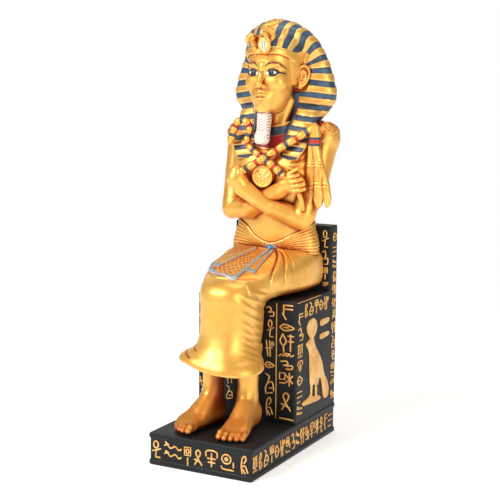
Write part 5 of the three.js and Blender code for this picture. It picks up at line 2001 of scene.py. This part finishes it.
# throne sides: a column at the front edge, a row along the top, a narrow column on the panel's side
for sx in (1, -1):
    if sx > 0:
        signs.frame((34.5, 0, 0), (0, 1, 0), (0, 0, 1), (1, 0, 0))
        U = lambda a_, b_: (a_, b_)
        k0 = 0
    else:
        signs.frame((-34.5, 0, 0), (0, -1, 0), (0, 0, 1), (-1, 0, 0))
        U = lambda a_, b_: (-b_, -a_)
        k0 = 6
    u0, u1 = U(0.8, 8.0)
    column(signs, u0, u1, 21.5, 88, 1 + k0, 10.5, 1.1)
    u0, u1 = U(9.5, 47.2)
    row(signs, u0, u1, 84.6, 93.0, 3 + k0, 8.0, 1.1)
    u0, u1 = U(50.8, 56.8)
    column(signs, u0, u1, 21.5, 133.5, 5 + k0, 9.5, 1.0)
    a0, a1 = U(-0.2, 33.0)
    signs.ribbon(line(a0, 95.0, a1, 95.0, 6), 0.55, 0.3)

# back panel, front side, beside the waist
signs.frame((0, 47, 0), (1, 0, 0), (0, 0, 1), (0, -1, 0))
for mark, z0, z1, x0, x1 in (("loop_bars", 123.4, 134.6, 28.4, 33.4), ("hooks", 112.2, 121.4, 28.6, 33.2), ("box_oval", 103.0, 110.6, 29.2, 33.2),
                             ("bars", 98.6, 101.4, 29.6, 33.2), ("plume", 123.0, 134.0, -33.4, -28.6), ("drops", 112.0, 120.8, -33.2, -28.8),
                             ("zigzag", 107.0, 109.6, -33.4, -29.0)):
    put(signs, mark, x0, z0, x1, z1, 1.05)
# back: four plain columns
signs.frame((0, 58.8, 0), (-1, 0, 0), (0, 0, 1), (0, 1, 0))
for k, u in enumerate((-29.5, -13.5, 4.5, 20.5)):
    column(signs, u, u + 9.0, 23.5, 133.0, 3 * k + 2, 12.5, 1.2)
for u in (-17.0, 0.0, 17.0):
    signs.ribbon(line(u, 134.5, u, 22.5, 10), 0.7, 0.3)
signs.make("raised_signs", SIGN, "throne_with_plinth")

# flat standing figure and two bars on each side of the throne
figure_mark = Strokes()


def standing(mirror):
    def m(pts):
        return [((-a_ if mirror else a_), b_) for a_, b_ in pts]

    def outline(pts, closed_n=5):
        p = spline([list(k) for k in pts] + [list(pts[0])], closed_n)[:-1]
        p = [tuple(k) for k in p]
        area = sum(p[i][0] * p[(i + 1) % len(p)][1] - p[(i + 1) % len(p)][0] * p[i][1] for i in range(len(p)))
        p = m(p)
        area = sum(p[i][0] * p[(i + 1) % len(p)][1] - p[(i + 1) % len(p)][0] * p[i][1] for i in range(len(p)))
        return p if area > 0 else p[::-1]

    head_ = outline([(22.0, 82.5), (16.2, 81.6), (13.0, 78.3), (13.9, 74.7), (16.4, 71.9), (18.9, 69.6), (22.3, 69.3), (26.3, 71.8), (28.4, 76.1), (26.4, 80.4)])
    body_ = outline([(18.9, 70.6), (15.9, 69.2), (11.9, 67.6), (14.7, 64.2), (16.9, 60.3), (17.5, 54.4), (18.0, 48.4), (18.6, 41.0),
                     (20.4, 39.8), (25.9, 38.8), (29.3, 39.2), (31.0, 37.4), (32.6, 41.1), (34.9, 40.9), (38.2, 38.9), (41.6, 40.6),
                     (39.5, 45.0), (37.1, 50.8), (32.6, 57.1), (26.9, 63.0), (24.2, 67.6), (22.5, 70.4)], 4)
    leg_a = outline([(19.4, 41.2), (18.6, 33.6), (8.1, 31.2), (8.6, 29.2), (12.5, 28.4), (24.3, 27.5), (33.9, 27.2), (34.9, 29.0), (30.0, 31.2), (22.6, 32.4), (22.9, 41.0)])
    leg_b = outline([(26.2, 39.8), (26.9, 30.6), (29.8, 30.4), (29.0, 39.8)])
    train = outline([(34.9, 41.2), (37.1, 35.3), (39.2, 28.2), (42.4, 26.2), (46.8, 27.2), (47.1, 33.6), (42.0, 40.8)])
    return [head_, body_, leg_a, leg_b, train]


for sx in (1, -1):
    if sx > 0:
        figure_mark.frame((34.5, 0, 0), (0, 1, 0), (0, 0, 1), (1, 0, 0))
    else:
        figure_mark.frame((-34.5, 0, 0), (0, -1, 0), (0, 0, 1), (-1, 0, 0))
    for k, shape_ in enumerate(standing(sx < 0)):
        figure_mark.plate(shape_, 0.55 + 0.02 * k, 0.4)
    for (z0, z1) in ((74.8, 79.2), (66.2, 70.2)):
        pts = [(33.0, z0 - 0.2), (46.9, z0 + 0.8), (46.9, z1), (32.2, z1 + 0.1)]
        pts = [((-a_ if sx < 0 else a_), b_) for a_, b_ in pts]
        if sx < 0:
            pts = pts[::-1]
        dense = []
        for i in range(4):
            (ax_, ay_), (bx_, by_) = pts[i], pts[(i + 1) % 4]
            for j in range(1, 5):
                dense.append((ax_ + (bx_ - ax_) * j / 5, ay_ + (by_ - ay_) * j / 5))
        figure_mark.plate(dense, 0.55, 0.4)
figure_mark.make("side_figures", SIGN, "throne_with_plinth")

# ---------------------------------------------------------------- floor
me = bpy.data.meshes.new("floor")
me.from_pydata([(-3, -3, -0.0002), (3, -3, -0.0002), (3, 3, -0.0002), (-3, 3, -0.0002)], [], [(0, 1, 2, 3)])
floor = bpy.data.objects.new("floor", me)
bpy.context.scene.collection.objects.link(floor)
me.materials.append(FLOOR)

# ---------------------------------------------------------------- light
bpy.context.scene.view_settings.view_transform = "Standard"
world = bpy.context.scene.world or bpy.data.worlds.new("studio")
bpy.context.scene.world = world
world.use_nodes = True
bg = world.node_tree.nodes.get("Background")
bg.inputs[0].default_value = (1.0, 1.0, 1.0, 1)
bg.inputs[1].default_value = 0.3


def area(name, loc, target, size, power, colour=(1, 1, 1)):
    d = bpy.data.lights.new(name, "AREA")
    d.shape = "RECTANGLE"
    d.size, d.size_y = size
    d.energy = power
    d.color = colour
    o = bpy.data.objects.new(name, d)
    bpy.context.scene.collection.objects.link(o)
    o.location = loc
    o.rotation_euler = (Vector(target) - Vector(loc)).to_track_quat("-Z", "Y").to_euler()
    return o


area("key", (-0.40, -0.78, 0.72), (0, 0, 0.13), (0.40, 0.42), 9.0, (1, 0.98, 0.92))
area("fill", (0.80, -0.45, 0.42), (0, 0, 0.13), (0.45, 0.6), 4.1, (1, 0.87, 0.70))
area("top", (0.05, 0.15, 0.95), (0, 0, 0.13), (0.6, 0.5), 2.4)

# lit white sheet that lies on the floor behind the object and sweeps up far behind it
me = bpy.data.meshes.new("backdrop")
rows_ = [(0.45, 0.0)]
for k in range(13):
    a_ = math.radians(90 * k / 12)
    rows_.append((1.6 + 0.8 * math.sin(a_), 0.8 - 0.8 * math.cos(a_)))
rows_.append((2.4, 1.4))
turn = math.radians(27.92)
vs, fs = [], []
for depth, high in rows_:
    for side_ in (-0.9, 0.9):
        vs.append((-math.sin(turn) * depth + math.cos(turn) * side_, math.cos(turn) * depth + math.sin(turn) * side_, high - 0.0001))
for k in range(len(rows_) - 1):
    fs.append((2 * k, 2 * k + 1, 2 * k + 3, 2 * k + 2))
me.from_pydata(vs, [], fs)
for p_ in me.polygons:
    p_.use_smooth = True
backdrop = bpy.data.objects.new("backdrop", me)
bpy.context.scene.collection.objects.link(backdrop)
glow = bpy.data.materials.new("backdrop_white")
t_ = Tree(glow)
out_ = t_.node("ShaderNodeOutputMaterial")
em = t_.node("ShaderNodeEmission")
em.inputs[0].default_value = (1, 1, 1, 1)
em.inputs[1].default_value = 1.0
t_.link(em.outputs[0], out_.inputs[0])
me.materials.append(glow)

# ---------------------------------------------------------------- camera
az, el, roll = math.radians(27.92), math.radians(8.08), math.radians(0.56)
back = Vector((math.sin(az) * math.cos(el), -math.cos(az) * math.cos(el), math.sin(el)))
right = Vector((math.cos(az), math.sin(az), 0))
up = back.cross(right)
R = math.cos(roll) * right + math.sin(roll) * up
U_ = -math.sin(roll) * right + math.cos(roll) * up
cam_data = bpy.data.cameras.new("camera")
cam_data.sensor_fit = "HORIZONTAL"
cam_data.sensor_width = 36
cam_data.lens = 1156.4489 * 36 / 500
cam_data.clip_start = 0.01
cam = bpy.data.objects.new("camera", cam_data)
bpy.context.scene.collection.objects.link(cam)
cam.matrix_world = Matrix(((R.x, U_.x, back.x, 0.3315), (R.y, U_.y, back.y, -0.6229), (R.z, U_.z, back.z, 0.2254), (0, 0, 0, 1)))
bpy.context.scene.camera = cam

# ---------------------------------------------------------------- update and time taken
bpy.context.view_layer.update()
print("script time", round(time.time() - START, 1))
